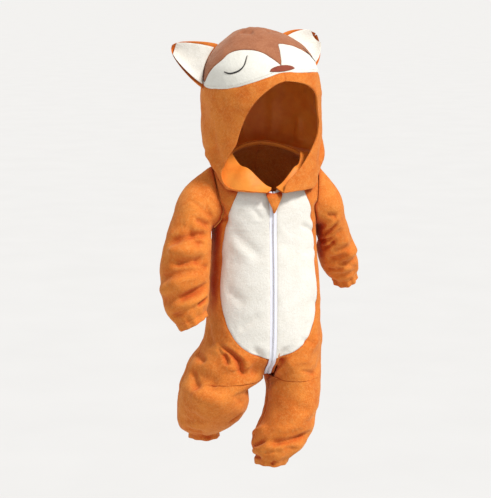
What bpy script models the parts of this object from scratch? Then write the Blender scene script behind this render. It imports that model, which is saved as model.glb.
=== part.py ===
"""Hooded fleece jumpsuit for a toddler, with a fox-face hood, modelled as worn and left hollow.

Units are metres, +Z up. The wearer faces -Y, and the wearer's right hand is on -X. The origin lies between the
tops of the shoulders, where the garment hangs on whoever wears it.

Every panel is a sheet laid on one of three forms: the body with its two legs, the hood, or a sleeve. A form is a
stack of rings. Each table row below is one ring, and the form runs smoothly through the rows.
"""

import math

import bmesh
import bpy
import numpy as np

WALL = 0.0022           # thickness of the fleece
LINING_WALL = 0.0010    # thickness of the hood's smooth lining
SEAM = 0.00026          # each panel stops this far short of its seam
ZIP_HALF = 0.0070       # the fronts stop this far from the centre line
ZIP_CHAIN_HALF = 0.0022
BACK_SEAM_HALF = 0.0002
HEAD_TURN = math.radians(11.0)      # the hood is turned toward the wearer's left
HEAD_TILT = 0.10                    # and leans toward the wearer's right: height gained per metre of x
TURN_FULL_AT = 0.060                # height at which the hood has its full turn

# Rings of the body and the legs. z is given at the front, at 50 degrees, at the side and at the back.
# Angles run from 0 at the front over 90 at the outer side to 180 at the back.
RING = ("z_front", "z_diagonal", "z_side", "z_back", "half_width", "depth_front", "depth_back", "shift_x", "shift_y",
        "squareness")
TRUNK = (
    (-.0435, -.0065, .0165, .0345, .066, .063, .050, 0, -.014, 2.0),  # 0 neck seam
    (-.0530, -.026, .0070, .0215, .084, .070, .066, 0, -.010, 2.0),  # 1 slope of the shoulder
    (-.064, -.049, -.005, .003, .103, .074, .078, 0, -.006, 2.1),    # 2 shoulder point
    (-.080, -.070, -.040, -.030, .108, .078, .084, 0, -.004, 2.2),   # 3
    (-.100, -.095, -.080, -.075, .103, .080, .085, 0, -.002, 2.2),   # 4 chest
    (-.135, -.135, -.130, -.130, .099, .082, .086, 0, 0, 2.2),       # 5 armpit
    (-.180, -.180, -.180, -.180, .102, .086, .088, 0, 0, 2.2),       # 6
    (-.240, -.240, -.240, -.240, .108, .089, .092, 0, 0, 2.2),       # 7 belly
    (-.295, -.295, -.295, -.295, .110, .089, .098, 0, 0, 2.2),       # 8
    (-.335, -.335, -.335, -.335, .111, .087, .101, .003, 0, 2.2),    # 9 seat
)
LEG_RIGHT = (
    (-.362, -.362, -.362, -.362, .100, .085, .100, .024, .001, 2.1),   # 10
    (-.390, -.390, -.390, -.390, .080, .084, .096, .066, .003, 2.0),   # 11
    (-.417, -.417, -.417, -.417, .077, .086, .088, .0804, .002, 2.0),  # 12 crotch
    (-.438, -.438, -.438, -.438, .065, .089, .080, .1010, -.002, 2.0),  # 13
    (-.466, -.466, -.466, -.466, .068, .084, .078, .1010, .002, 2.0),  # 14 knee
    (-.492, -.492, -.492, -.492, .064, .074, .072, .1045, .012, 2.0),  # 15
    (-.513, -.513, -.513, -.513, .056, .062, .060, .1100, .024, 2.0),  # 16
    (-.530, -.530, -.530, -.530, .042, .047, .045, .1145, .037, 2.0),  # 17
    (-.541, -.541, -.542, -.544, .0275, .033, .033, .1120, .046, 2.0),  # 18 elastic
    (-.552, -.552, -.554, -.557, .0290, .035, .035, .1110, .050, 2.0),  # 19 hem
)
LEG_LEFT = (
    (-.362, -.362, -.362, -.362, .094, .085, .100, .018, .001, 2.1),
    (-.390, -.390, -.390, -.390, .064, .084, .096, .048, .003, 2.0),
    (-.417, -.417, -.417, -.417, .054, .080, .090, .0575, .002, 2.0),
    (-.446, -.446, -.446, -.446, .051, .074, .084, .0580, -.006, 2.0),
    (-.474, -.474, -.474, -.474, .050, .070, .076, .0545, -.014, 2.0),
    (-.500, -.500, -.500, -.500, .051, .067, .068, .046, -.022, 2.0),
    (-.526, -.526, -.526, -.526, .054, .062, .062, .034, -.030, 2.0),
    (-.552, -.552, -.552, -.552, .050, .056, .054, .020, -.036, 2.0),
    (-.572, -.572, -.574, -.577, .0335, .042, .040, .0095, -.038, 2.0),
    (-.585, -.585, -.588, -.592, .0300, .037, .036, .007, -.038, 2.0),
)
BODY_ROWS = 19          # last row of the trunk and leg tables together
CROTCH_ROW = 12
ARMHOLE = {-1: (3.35, 1.50, 34), 1: (3.35, 1.50, 33)}   # middle row, half height in rows, half width in degrees

# Cream belly panel: half width at each row of the body.
BELLY_ROW = (0, 1, 2, 3, 4, 5, 6, 7, 8, 8.6, 9, 9.4, 9.75, 10.0, 10.2)
BELLY_HALF = (.048, .058, .066, .075, .082, .087, .092, .095, .087, .077, .068, .056, .042, .027, .0112)
BELLY_END = 10.2

# Rings of the hood, from the neck seam over the turn onto the shoulders and up to the crown.
HOOD = (
    (-.0375, .001, .0225, .0405, .066, .067, .050, 0, -.014, 2.0),      # 0 neck seam
    (-.0430, -.014, .0190, .0330, .086, .080, .068, 0, -.011, 2.0),     # 1 over the shoulder
    (-.0440, -.040, .0160, .0240, .100, .092, .085, .002, -.008, 2.0),  # 2 lowest, flared edge
    (-.0230, -.020, .0240, .0300, .108, .094, .096, .003, -.003, 2.0),  # 3
    (.018, .018, .044, .050, .1115, .096, .102, .003, 0, 2.0),          # 4
    (.060, .060, .073, .078, .1135, .102, .107, .002, 0, 2.0),          # 5
    (.098, .098, .103, .106, .1125, .114, .110, .001, 0, 2.0),          # 6
    (.133, .133, .134, .135, .1110, .124, .112, 0, 0, 2.1),             # 7
    (.165, .165, .165, .165, .1075, .121, .108, 0, 0, 2.1),             # 8 over the opening
    (.190, .190, .190, .190, .1015, .108, .102, 0, 0, 2.1),             # 9
    (.2110, .2110, .2110, .2110, .090, .088, .091, 0, .002, 2.1),       # 10
    (.2300, .2300, .2300, .2300, .071, .064, .075, -.002, .004, 2.1),   # 11
    (.2450, .2450, .2450, .2450, .048, .041, .055, -.004, .006, 2.0),   # 12
    (.2550, .2550, .2550, .2550, .025, .020, .033, -.007, .008, 2.0),   # 13
    (.2590, .2590, .2590, .2590, .001, .001, .001, -.010, .010, 2.0),   # 14 apex
)
HOOD_TOP_ROW = 14

# Edge of the face opening: fractions of the way up the side panel, and the angle from the front at each. On the
# wearer's right the lapel lies turned out; on the left the edge climbs from the zip.
OPEN = {
    -1: ((0, .08, .16, .22, .24, .262, .285, .31, .345, .42, .50, .565, .62, .70, .775, .84, .88, .91, .925, .932, 1),
         (3, 5, 7.5, 10, 18, 34, 45, 51, 56, 57, 54, 50, 45.5, 42, 38, 32.5, 26, 17, 9, .12, .12)),
    1: ((0, .13, .266, .345, .432, .511, .598, .66, .70, .775, .84, .88, .91, .925, .932, 1),
        (5, 7.5, 9.5, 12.5, 25, 35.5, 47, 49, 47, 44, 39, 33, 24, 14, .12, .12)),
}

# Fox face: height of each colour seam on the hood at an angle from the front, on each side.
SEAM_ANGLE = (0, 6, 14, 28, 40, 48, 61, 68, 76, 86, 95, 105, 120, 140, 180)
FACE_LOWER = {
    -1: (.1785, .1775, .174, .168, .163, .160, .158, .158, .158, .159, .162, .1720, .190, .207, .212),
    1: (.1785, .1775, .175, .172, .170, .168, .165, .164, .163, .162, .163, .1720, .190, .207, .212),
}
FACE_UPPER = {
    -1: (.190, .202, .214, .222, .2235, .223, .218, .208, .200, .186, .169, .1728, .190, .207, .212),
    1: (.190, .212, .227, .223, .213, .204, .194, .190, .186, .180, .169, .1728, .190, .207, .212),
}
FACE_END = 104.0

# Sleeve sections: centre, half width across and fore-and-aft, and how the section leans (degrees: the axis swings
# outward, then forward).
SLEEVE = ("x", "y", "z", "half_out", "half_fore", "swing_out", "swing_fore")
SLEEVE_RIGHT = (
    (-.133, -.010, -.0860, .0475, .050, 58, 10),
    (-.1465, -.024, -.123, .0440, .050, 33, 14),
    (-.1560, -.034, -.157, .0460, .051, 14, 12),
    (-.1630, -.042, -.198, .0480, .051, 3, 10),
    (-.1630, -.048, -.237, .0460, .048, -4, 8),
    (-.1600, -.052, -.266, .0420, .044, -14, 6),
    (-.1540, -.055, -.284, .0320, .034, -24, 6),
    (-.1490, -.057, -.296, .0305, .032, -28, 6),
)
SLEEVE_LEFT = (
    (.128, .002, -.0900, .0380, .048, 57, -6),
    (.1350, .012, -.122, .0340, .047, 36, -16),
    (.1450, .024, -.153, .0350, .045, 22, -22),
    (.1545, .036, -.178, .0380, .043, 14, -25),
    (.1630, .048, -.202, .0385, .040, 11, -26),
    (.1720, .058, -.222, .0340, .035, 14, -26),
    (.1790, .064, -.235, .0255, .028, 16, -26),
    (.1835, .070, -.247, .0260, .029, 18, -26),
)

# Folds. Each runs between two places on its form (angle, row) and has a width and a depth in metres; a negative
# depth is a trough, a positive one a ridge.
FOLD = ("angle_a", "row_a", "angle_b", "row_b", "width", "depth")
BODY_FOLDS = {
    -1: (
        (22, 9.1, -40, 11.8, .009, -.0061), (55, 9.0, 10, 11.2, .014, .0054), (60, 3.0, 52, 4.6, .009, -.0047),
        (88, 8.2, 62, 9.6, .011, -.0047), (75, 11.0, 15, 12.0, .014, -.0054), (80, 15.6, 20, 14.6, .011, -.0054),
        (60, 16.2, 10, 16.6, .009, -.0047), (100, 16.8, 170, 15.9, .010, -.0054), (120, 11.2, 200, 12.2, .011, -.0061),
        (110, 8.0, 165, 8.6, .013, -.0047), (125, 4.9, 160, 6.0, .011, -.0041), (140, 13.6, 220, 14.2, .011, -.0047),
        (-10, 13.4, 60, 13.0, .014, .0047), (62, 5.6, 70, 7.0, .011, -.0034),
    ),
    1: (
        (20, 9.2, -40, 11.6, .009, -.0061), (58, 8.8, 12, 11.0, .014, .0054), (58, 3.0, 50, 4.5, .009, -.0041),
        (88, 7.6, 64, 9.2, .011, -.0041), (78, 10.6, 10, 12.0, .014, -.0047), (85, 14.4, -20, 15.9, .010, -.0061),
        (70, 15.8, -10, 16.7, .010, -.0061), (-30, 17.0, 40, 17.2, .009, -.0054), (100, 16.2, 180, 16.9, .010, -.0061),
        (120, 11.0, 200, 12.0, .011, -.0061), (112, 7.4, 168, 8.2, .013, -.0047), (128, 4.8, 160, 5.8, .011, -.0041),
        (140, 14.0, 230, 14.8, .011, -.0047), (60, 5.8, 68, 7.2, .011, -.0034),
    ),
}
SLEEVE_FOLDS = {
    -1: (
        (-30, 3.4, 150, 2.9, .009, -.0074), (-20, 4.4, 140, 4.0, .009, -.0061), (10, 5.4, 120, 4.8, .010, -.0061),
        (60, 1.0, 120, 1.9, .009, -.0054), (30, 2.2, 110, 2.4, .011, .0054), (-10, 3.9, 90, 3.5, .011, .0054),
        (200, 2.6, 300, 3.4, .010, -.0068), (180, 4.3, 290, 4.7, .010, -.0061), (160, 1.6, 220, 2.2, .010, -.0054),
    ),
    1: (
        (0, 2.6, 120, 2.0, .009, -.0061), (-10, 3.8, 130, 3.2, .009, -.0061), (20, 5.0, 140, 4.4, .009, -.0054),
        (60, 1.0, 120, 1.7, .009, -.0054), (0, 3.3, 90, 2.7, .011, .0047), (200, 2.4, 300, 3.2, .010, -.0061),
        (180, 4.0, 290, 4.6, .010, -.0054), (160, 1.5, 220, 2.1, .010, -.0054),
    ),
}
HOOD_FOLDS = {
    -1: (
        (52, 3.4, 75, 4.6, .011, -.0054), (70, 2.4, 96, 3.6, .014, .0047), (100, 3.0, 150, 4.2, .014, -.0061),
        (80, 5.0, 100, 7.0, .016, -.0034), (150, 2.6, 176, 3.4, .011, -.0054), (160, 5.5, 176, 8.0, .016, -.0034),
        (10, 12.6, 70, 12.9, .008, -.0047),
    ),
    1: (
        (52, 3.4, 72, 4.5, .011, -.0054), (70, 2.4, 96, 3.8, .014, .0047), (100, 3.2, 150, 4.0, .014, -.0061),
        (82, 5.2, 100, 7.2, .016, -.0034), (150, 2.4, 176, 3.2, .011, -.0054), (20, 12.5, 80, 12.2, .008, -.0034),
    ),
}
HEM_GATHERS, CUFF_GATHERS = 8, 10    # waves round each leg hem and each cuff, a ridge at every seam
CUFF_GATHER_DEPTH = .0013

EAR_BASE = {-1: ((96, .158), (117, .232)), 1: ((96, .160), (117, .232))}   # lower front and upper back corner
EAR_REACH = {-1: (.062, .034, .026), 1: (.050, .040, .027)}    # from the middle of the base to the tip
EAR_SEAT = {-1: WALL + .0012, 1: WALL + .0010}
EAR_CUP = .010                      # how far its middle stands behind its edges


def curve(knots, values, at):
    """A smooth curve through a table's values that never overshoots them. Values may have several columns."""
    t, p, at = np.asarray(knots, float), np.asarray(values, float), np.asarray(at, float)
    flat = p.ndim == 1
    p = p[:, None] if flat else p
    h = np.diff(t)[:, None]
    d = np.diff(p, axis=0) / h
    slope = np.zeros_like(p)
    w1, w2 = 2 * h[1:] + h[:-1], h[1:] + 2 * h[:-1]
    same = d[:-1] * d[1:] > 0
    safe = np.where(same, d[:-1], 1.0), np.where(same, d[1:], 1.0)
    slope[1:-1] = np.where(same, (w1 + w2) / (w1 / safe[0] + w2 / safe[1]), 0)
    slope[0], slope[-1] = d[0], d[-1]
    x = np.clip(at, t[0], t[-1])
    i = np.clip(np.searchsorted(t, x, side="right") - 1, 0, len(t) - 2)
    step = h[i, 0]
    s = ((x - t[i]) / step)[..., None]
    step = step[..., None]
    out = ((1 + 2 * s) * (1 - s) ** 2 * p[i] + s * (1 - s) ** 2 * step * slope[i]
           + s * s * (3 - 2 * s) * p[i + 1] + s * s * (s - 1) * step * slope[i + 1])
    return out[..., 0] if flat else out


def smooth(x):
    x = np.clip(x, 0, 1)
    return x * x * (3 - 2 * x)


def columns(table, row):
    return dict(zip(RING, np.moveaxis(curve(range(len(table)), table, row), -1, 0)))


def ring_point(table, side, row, angle):
    """A point of a stack of rings, before any fold. side is -1 for the wearer's right, 1 for the left."""
    row, angle = np.broadcast_arrays(np.asarray(row, float), np.asarray(angle, float))
    c = columns(table, row)
    s, k = np.sin(np.radians(angle)), np.cos(np.radians(angle))
    n = c["squareness"]
    r = (np.abs(s) ** n + np.abs(k) ** n + 1e-12) ** (-1 / n)
    depth = np.where(k > 0, c["depth_front"], c["depth_back"])
    turn = np.abs((angle + 180) % 360 - 180)
    t = smooth(turn / 50), smooth((turn - 50) / 40), smooth((turn - 90) / 90)
    z = (c["z_front"] + (c["z_diagonal"] - c["z_front"]) * t[0] + (c["z_side"] - c["z_diagonal"]) * t[1]
         + (c["z_back"] - c["z_side"]) * t[2])
    return np.stack([side * (c["shift_x"] + c["half_width"] * s * r), c["shift_y"] - depth * k * r, z], -1)


def angle_at(table, side, row, across, back=False):
    """The angle at which a ring is this far from the centre line, on its front or its back."""
    row = np.asarray(row, float)
    sweep = np.linspace(-90, 90, 181)
    rows, inverse = np.unique(np.round(row, 6).ravel(), return_inverse=True)
    grid = ring_point(table, 1, rows[:, None], sweep[None, :])[..., 0]
    across = np.broadcast_to(np.asarray(across, float), row.shape).ravel()
    out = np.array([np.interp(a, grid[i], sweep) for a, i in zip(across, inverse)]).reshape(row.shape)
    return 180 - out if back else out


def body_table(side):
    return TRUNK + (LEG_RIGHT if side < 0 else LEG_LEFT)


def lay_folds(points, normals, form, folds):
    """Moves points along their normals by the folds' soft profile, fading out toward each fold's ends."""
    out = np.zeros(points.shape[:-1])
    steps = np.linspace(0, 1, 9)
    for fold in folds:
        f = dict(zip(FOLD, fold))
        line = form(f["row_a"] + (f["row_b"] - f["row_a"]) * steps, f["angle_a"] + (f["angle_b"] - f["angle_a"]) * steps)
        best = np.full(out.shape, 1e9)
        along = np.zeros(out.shape)
        for i, (a, b) in enumerate(zip(line[:-1], line[1:])):
            ab = b - a
            s = np.clip((points - a) @ ab / (ab @ ab), 0, 1)
            gap = np.linalg.norm(points - a - s[..., None] * ab, axis=-1)
            nearer = gap < best
            best, along = np.where(nearer, gap, best), np.where(nearer, (i + s) / 8, along)
        out += f["depth"] * np.exp(-(best / f["width"]) ** 2) * smooth(4 * along) * smooth(4 * (1 - along))
    return points + normals * out[..., None]


def normals_of(form, row, angle, outward=1):
    step_r, step_a = 0.02, 0.6
    along = form(row + step_r, angle) - form(row - step_r, angle)
    around = form(row, angle + step_a) - form(row, angle - step_a)
    n = np.cross(around, along) * outward
    return n / (np.linalg.norm(n, axis=-1, keepdims=True) + 1e-15)


def gathers(row, angle, start, end, waves):
    """Waves round an elastic hem, growing toward it."""
    turn = np.radians(angle - 90)
    return CUFF_GATHER_DEPTH * (np.cos(turn * waves) + .4 * np.cos(turn * 4)) * smooth((row - start) / (end - start))


def body(side, row, angle, out=0.0):
    """A point on the outer face of the body or a leg; out moves it off the cloth."""
    table = body_table(side)
    row, angle = np.broadcast_arrays(np.asarray(row, float), np.asarray(angle, float))
    form = lambda r, a: ring_point(table, side, r, a)
    points = form(row, angle)
    normal = normals_of(form, np.clip(row, .03, BODY_ROWS - .03), angle, -side)
    folded = lay_folds(points, normal, form, BODY_FOLDS[side])
    lift = out + gathers(row, angle, 15.6, 18.5, HEM_GATHERS)
    return folded + normal * np.asarray(lift)[..., None]


def hood_turn(p, row):
    """Turns and leans the hood, none at the neck seam and all of it above the shoulders."""
    share = smooth((p[..., 2] + .02) / (TURN_FULL_AT + .02)) * smooth(row / 2.5)
    a = HEAD_TURN * share
    x, y = p[..., 0], p[..., 1]
    turned = np.stack([x * np.cos(a) - y * np.sin(a), x * np.sin(a) + y * np.cos(a), p[..., 2]], -1)
    turned[..., 2] += HEAD_TILT * share * turned[..., 0]
    turned[..., 0] -= HEAD_TILT * share * np.maximum(p[..., 2], 0) * .6
    return turned


def hood_ring(side, row, angle):
    """A positive shift widens the hood on both sides; a negative one moves its crown to the wearer's right."""
    points = ring_point(HOOD, side, row, angle)
    points[..., 0] += (1 - side) * np.minimum(columns(HOOD, row)["shift_x"], 0)
    return hood_turn(points, row)


def hood(side, row, angle, out=0.0):
    row, angle = np.broadcast_arrays(np.asarray(row, float), np.asarray(angle, float))
    form = lambda r, a: hood_ring(side, r, a)
    points = form(row, angle)
    normal = normals_of(form, np.clip(row, .03, HOOD_TOP_ROW - .4), angle, side)
    folded = lay_folds(points, normal, form, HOOD_FOLDS[side])
    kept = smooth(angle / 12) * smooth((180 - angle) / 12) * smooth((HOOD_TOP_ROW - row) / 1.4)
    fade = 1 - smooth((row - 8.5) / 1.5) * (1 - kept)      # on the crown both sides' folds end before the middle
    folded = points + (folded - points) * fade[..., None]
    return folded + normal * np.asarray(out)[..., None]


def hood_row(height):
    """The hood's row at a height, where its rings are level."""
    rows = np.linspace(6, HOOD_TOP_ROW, 161)
    return np.interp(height, columns(HOOD, rows)["z_side"], rows)


def seam_height(table, angle):
    """Height of a colour seam; a negative angle is on the wearer's right."""
    return np.where(angle < 0, curve(SEAM_ANGLE, table[-1], abs(angle)), curve(SEAM_ANGLE, table[1], abs(angle)))


def armhole(side, phi, gap=0.0):
    """Row and angle of the armhole seam; phi runs from the shoulder over the front to the armpit."""
    middle, half_row, half_angle = ARMHOLE[side]
    phi = np.radians(phi)
    return middle - (half_row - gap / .03) * np.cos(phi), 90 - (half_angle - gap / .0018) * np.sin(phi)


def sleeve_section(side, row, phi):
    c = dict(zip(SLEEVE, np.moveaxis(curve(range(8), SLEEVE_RIGHT if side < 0 else SLEEVE_LEFT, row), -1, 0)))
    out, fore = np.radians(c["swing_out"]), np.radians(c["swing_fore"])
    axis = np.stack([side * np.sin(out), -np.cos(out) * np.sin(fore), -np.cos(out) * np.cos(fore)], -1)
    ahead = np.stack([np.zeros_like(out), -np.cos(fore), np.sin(fore)], -1)
    across = np.cross(axis, ahead) * side
    across = across * np.sign(across[..., :1] * side + 1e-9)
    s, k = np.sin(np.radians(phi))[..., None], np.cos(np.radians(phi))[..., None]
    centre = np.stack([c["x"], c["y"], c["z"]], -1)
    return centre + across * k * c["half_out"][..., None] + ahead * s * c["half_fore"][..., None]


def sleeve_form(side, row, phi):
    """Row -1 is the armhole seam, rows 0 to 7 are the sections."""
    row, phi = np.broadcast_arrays(np.asarray(row, float), np.asarray(phi, float))
    hole = body(side, *armhole(side, phi), WALL)
    stack = np.stack([hole] + [sleeve_section(side, np.full(row.shape, float(k)), phi) for k in range(8)], 0)
    i = np.clip(np.floor(row).astype(int) + 1, 0, 7)
    s = np.clip(row - (i - 1), 0, 1)[..., None]
    pick = lambda j: np.take_along_axis(stack, np.clip(j, 0, 8)[None, ..., None], 0)[0]
    a, b, c, d = pick(i - 1), pick(i), pick(i + 1), pick(i + 2)
    a = np.where((i == 0)[..., None], 2 * b - c, a)
    d = np.where((i == 7)[..., None], 2 * c - b, d)
    return .5 * (2 * b + (c - a) * s + (2 * a - 5 * b + 4 * c - d) * s ** 2 + (3 * b - a - 3 * c + d) * s ** 3)


def sleeve(side, row, phi, out=0.0):
    row, phi = np.broadcast_arrays(np.asarray(row, float), np.asarray(phi, float))
    form = lambda r, a: sleeve_form(side, r, a)
    points = form(row, phi)
    normal = normals_of(form, np.clip(row, -.5, 6.95), phi, side)
    folded = lay_folds(points, normal, form, SLEEVE_FOLDS[side])
    fade = smooth((row + 1) / .8)
    lift = out + gathers(row, phi, 4.8, 6.4, CUFF_GATHERS)
    return points + (folded - points) * fade[..., None] + normal * np.asarray(lift)[..., None]


def spaced(stops, counts):
    """Stations along a panel: this many steps between each pair of stops."""
    out = [np.linspace(a, b, n + 1)[:-1] for a, b, n in zip(stops, stops[1:], counts)]
    return np.concatenate(out + [[stops[-1]]])


def make_collection(name):
    made = bpy.data.collections.new(name)
    bpy.context.scene.collection.children.link(made)
    return made


def material(name, colour, roughness, metallic=0.0):
    made = bpy.data.materials.new(name)
    made.use_nodes = True
    shader = made.node_tree.nodes["Principled BSDF"]
    shader.inputs["Base Color"].default_value = (*colour, 1)
    shader.inputs["Roughness"].default_value = roughness
    shader.inputs["Metallic"].default_value = metallic
    return made


def grid_mesh(name, across, along, place, closed=False, flip=False, facing=None):
    """A grid of across by along steps, each of its points moved to place(column, row)."""
    mesh = bpy.data.meshes.new(name)
    bm = bmesh.new()
    bmesh.ops.create_grid(bm, x_segments=across, y_segments=along, size=1.0)
    bm.verts.ensure_lookup_table()
    flat = np.array([v.co[:2] for v in bm.verts]) * .5 + .5
    u, v = np.round(flat[:, 0] * across).astype(int), np.round(flat[:, 1] * along).astype(int)
    points = place(u, v)
    for vert, point in zip(bm.verts, points):
        vert.co = point
    if closed:
        bmesh.ops.remove_doubles(bm, verts=bm.verts[:], dist=2e-5)
    if facing is not None:
        bm.normal_update()
        flip = sum(f.normal.dot(facing) for f in bm.faces) < 0
    if flip:
        bmesh.ops.reverse_faces(bm, faces=bm.faces[:])
    bm.to_mesh(mesh)
    bm.free()
    mesh.shade_smooth()
    return mesh


def cloth(collection, name, look, across, along, place, wall=WALL, closed=False, flip=False, inward=False,
          facing=None):
    """One cut piece: an open sheet on a form, thickened outward, or inward where the form is its outer face."""
    made = bpy.data.objects.new(name, grid_mesh(name, across, along, place, closed, flip, facing))
    made.data.materials.append(look)
    collection.objects.link(made)
    thick = made.modifiers.new("cloth thickness", "SOLIDIFY")
    thick.thickness = wall
    thick.offset = -1.0 if inward else 1.0
    return made


def block(collection, name, look, size, at, bevel, tilt=0.0):
    """A small hard piece: a bevelled box."""
    mesh = bpy.data.meshes.new(name)
    bm = bmesh.new()
    bmesh.ops.create_cube(bm, size=1.0)
    bmesh.ops.scale(bm, vec=size, verts=bm.verts[:])
    bm.to_mesh(mesh)
    bm.free()
    mesh.materials.append(look)
    made = bpy.data.objects.new(name, mesh)
    made.location = at
    made.rotation_euler = (tilt, 0, 0)
    collection.objects.link(made)
    edge = made.modifiers.new("rounded edges", "BEVEL")
    edge.width = bevel
    edge.segments = 2
    return made


# Rows and columns of each panel's grid. The rows are closer together at the armhole, the belly panel's round end,
# the crotch and the elastic hems.
ARM_COLUMNS = 20        # columns round a sleeve, and twice the rows along an armhole
HOOD_ANGLES = np.array([0, 11.5, 23, 34.5, 46, 57.5, 69, 80.5, 92, 104, 120, 135, 150, 165, 180])
HOOD_SHARE = np.array([.002, .08, .16, .22, .25, .275, .30, .345, .43, .52, .61, .70, .78, .84, .885, .91, .925, .933,
                       1])
ZIP_ROWS = spaced((.3, 9, 10.2, 11.72), (15, 3, 6))


def panel_rows(side):
    middle, half, _ = ARMHOLE[side]
    hole = middle - half * np.cos(np.radians(np.linspace(0, 180, ARM_COLUMNS // 2 + 1)))
    below = spaced((middle + half, 8, 9, BELLY_END, 10.6, 12, 15, 17, 19), (4, 2, 4, 1, 5, 4, 4, 5))
    return np.concatenate([[0, .6, 1.2], hole, below[1:]])


def belly_half_at(row):
    return np.where(row < BELLY_END + .001, curve(BELLY_ROW, BELLY_HALF, row), ZIP_HALF)


def zip_line(row, across=0.0, out=0.0):
    """A point of the closure's centre line, halfway between the two fronts' edges, moved across and off the cloth."""
    row = np.asarray(row, float)

    def middle(at):
        two = [body(side, at, angle_at(body_table(side), side, at, ZIP_HALF)) for side in (-1, 1)]
        return (two[0] + two[1]) / 2 * [0, 1, 1]

    down = middle(row + .05) - middle(row - .05)
    down /= np.linalg.norm(down, axis=-1, keepdims=True)
    off = np.stack([0 * row, down[..., 2], -down[..., 1]], -1)
    point = middle(row) + off * np.asarray(out)[..., None]
    point[..., 0] = across
    return point


def outer_edge(side, rows, gap):
    """Angle of a panel's outer edge: the side seam, or the armhole where the row crosses it."""
    middle, half, half_angle = ARMHOLE[side]
    cut = np.clip(1 - ((rows - middle) / half) ** 2, 0, 1)
    return 90 - gap / .0018 - half_angle * np.sqrt(cut)


def inner_edge(side, rows, half, back=False):
    """Angle of a panel's inner edge: this far from the centre line, and the inseam below the crotch.

    Toward the crotch the panel draws back by its own thickness, because the two sides face each other there.
    """
    clear = half + (WALL + .0004) * smooth((rows - 9.6) / 1.1)
    edge = angle_at(body_table(side), side, rows, clear, back)
    seam = 269.8 if back else -89.8
    return np.where(rows > CROTCH_ROW - .01, seam, np.minimum(edge, seam) if back else np.maximum(edge, seam))


def build_body(collection, looks):
    for side, hand in ((-1, "right"), (1, "left")):
        table = body_table(side)
        rows = panel_rows(side)
        ends = rows.copy()
        ends[0] += .008
        n = len(rows) - 1
        belly = angle_at(table, side, rows, belly_half_at(rows) + SEAM)
        inner = np.where(rows < BELLY_END + .001, belly, inner_edge(side, rows, ZIP_HALF))
        outer = outer_edge(side, rows, SEAM)
        cols = 8

        def front(u, v, inner=inner, outer=outer, ends=ends, side=side):
            return body(side, ends[v], inner[v] + (outer[v] - inner[v]) * u / cols)

        cloth(collection, f"front_{hand}", looks["orange"], cols, n, front, flip=side > 0)

        back_in = inner_edge(side, rows, BACK_SEAM_HALF, True)
        back_out = 180 - outer

        def back(u, v, inner=back_in, outer=back_out, ends=ends, side=side):
            return body(side, ends[v], outer[v] + (inner[v] - outer[v]) * u / cols)

        cloth(collection, f"back_{hand}", looks["orange"], cols, n, back, flip=side > 0)

        belly_rows = rows[rows < BELLY_END + .001]
        belly_ends = ends[:len(belly_rows)].copy()
        belly_ends[-1] -= .010
        edge = angle_at(table, side, belly_rows, belly_half_at(belly_rows) - SEAM)
        zip_edge = angle_at(table, side, belly_rows, ZIP_HALF)

        def front_belly(u, v, rows=belly_ends, a=zip_edge, b=edge, side=side):
            return body(side, rows[v], a[v] + (b[v] - a[v]) * u / 5)

        cloth(collection, f"belly_{hand}", looks["cream"], 5, len(belly_rows) - 1, front_belly, flip=side > 0)

        def tape(u, v, side=side):
            across = ZIP_CHAIN_HALF + SEAM + (ZIP_HALF - ZIP_CHAIN_HALF - 4 * SEAM) * u
            return zip_line(ZIP_ROWS[v], side * across, .0004)

        cloth(collection, f"zip_tape_{hand}", looks["tape"], 1, len(ZIP_ROWS) - 1, tape, wall=.0010,
              facing=(0, -1, 0))

        ring = np.concatenate([[-1, -.6], spaced((-.2, 2, 5, 7), (4, 5, 6))])

        def arm(u, v, rows=ring, side=side):
            phi = u * 360 / ARM_COLUMNS
            row = rows[v] + np.where(v == 0, .012 + .030 * np.maximum(np.cos(np.radians(phi)), 0), 0)
            return sleeve(side, row, phi)

        cloth(collection, f"sleeve_{hand}", looks["orange"], ARM_COLUMNS, len(ring) - 1, arm, closed=True,
              flip=side < 0, inward=True)

    def chain(u, v):
        return zip_line(ZIP_ROWS[v], (u - 1) * (ZIP_CHAIN_HALF - SEAM), .0004)

    cloth(collection, "zip_chain", looks["tape"], 2, len(ZIP_ROWS) - 1, chain, wall=.0018, facing=(0, -1, 0))


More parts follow.
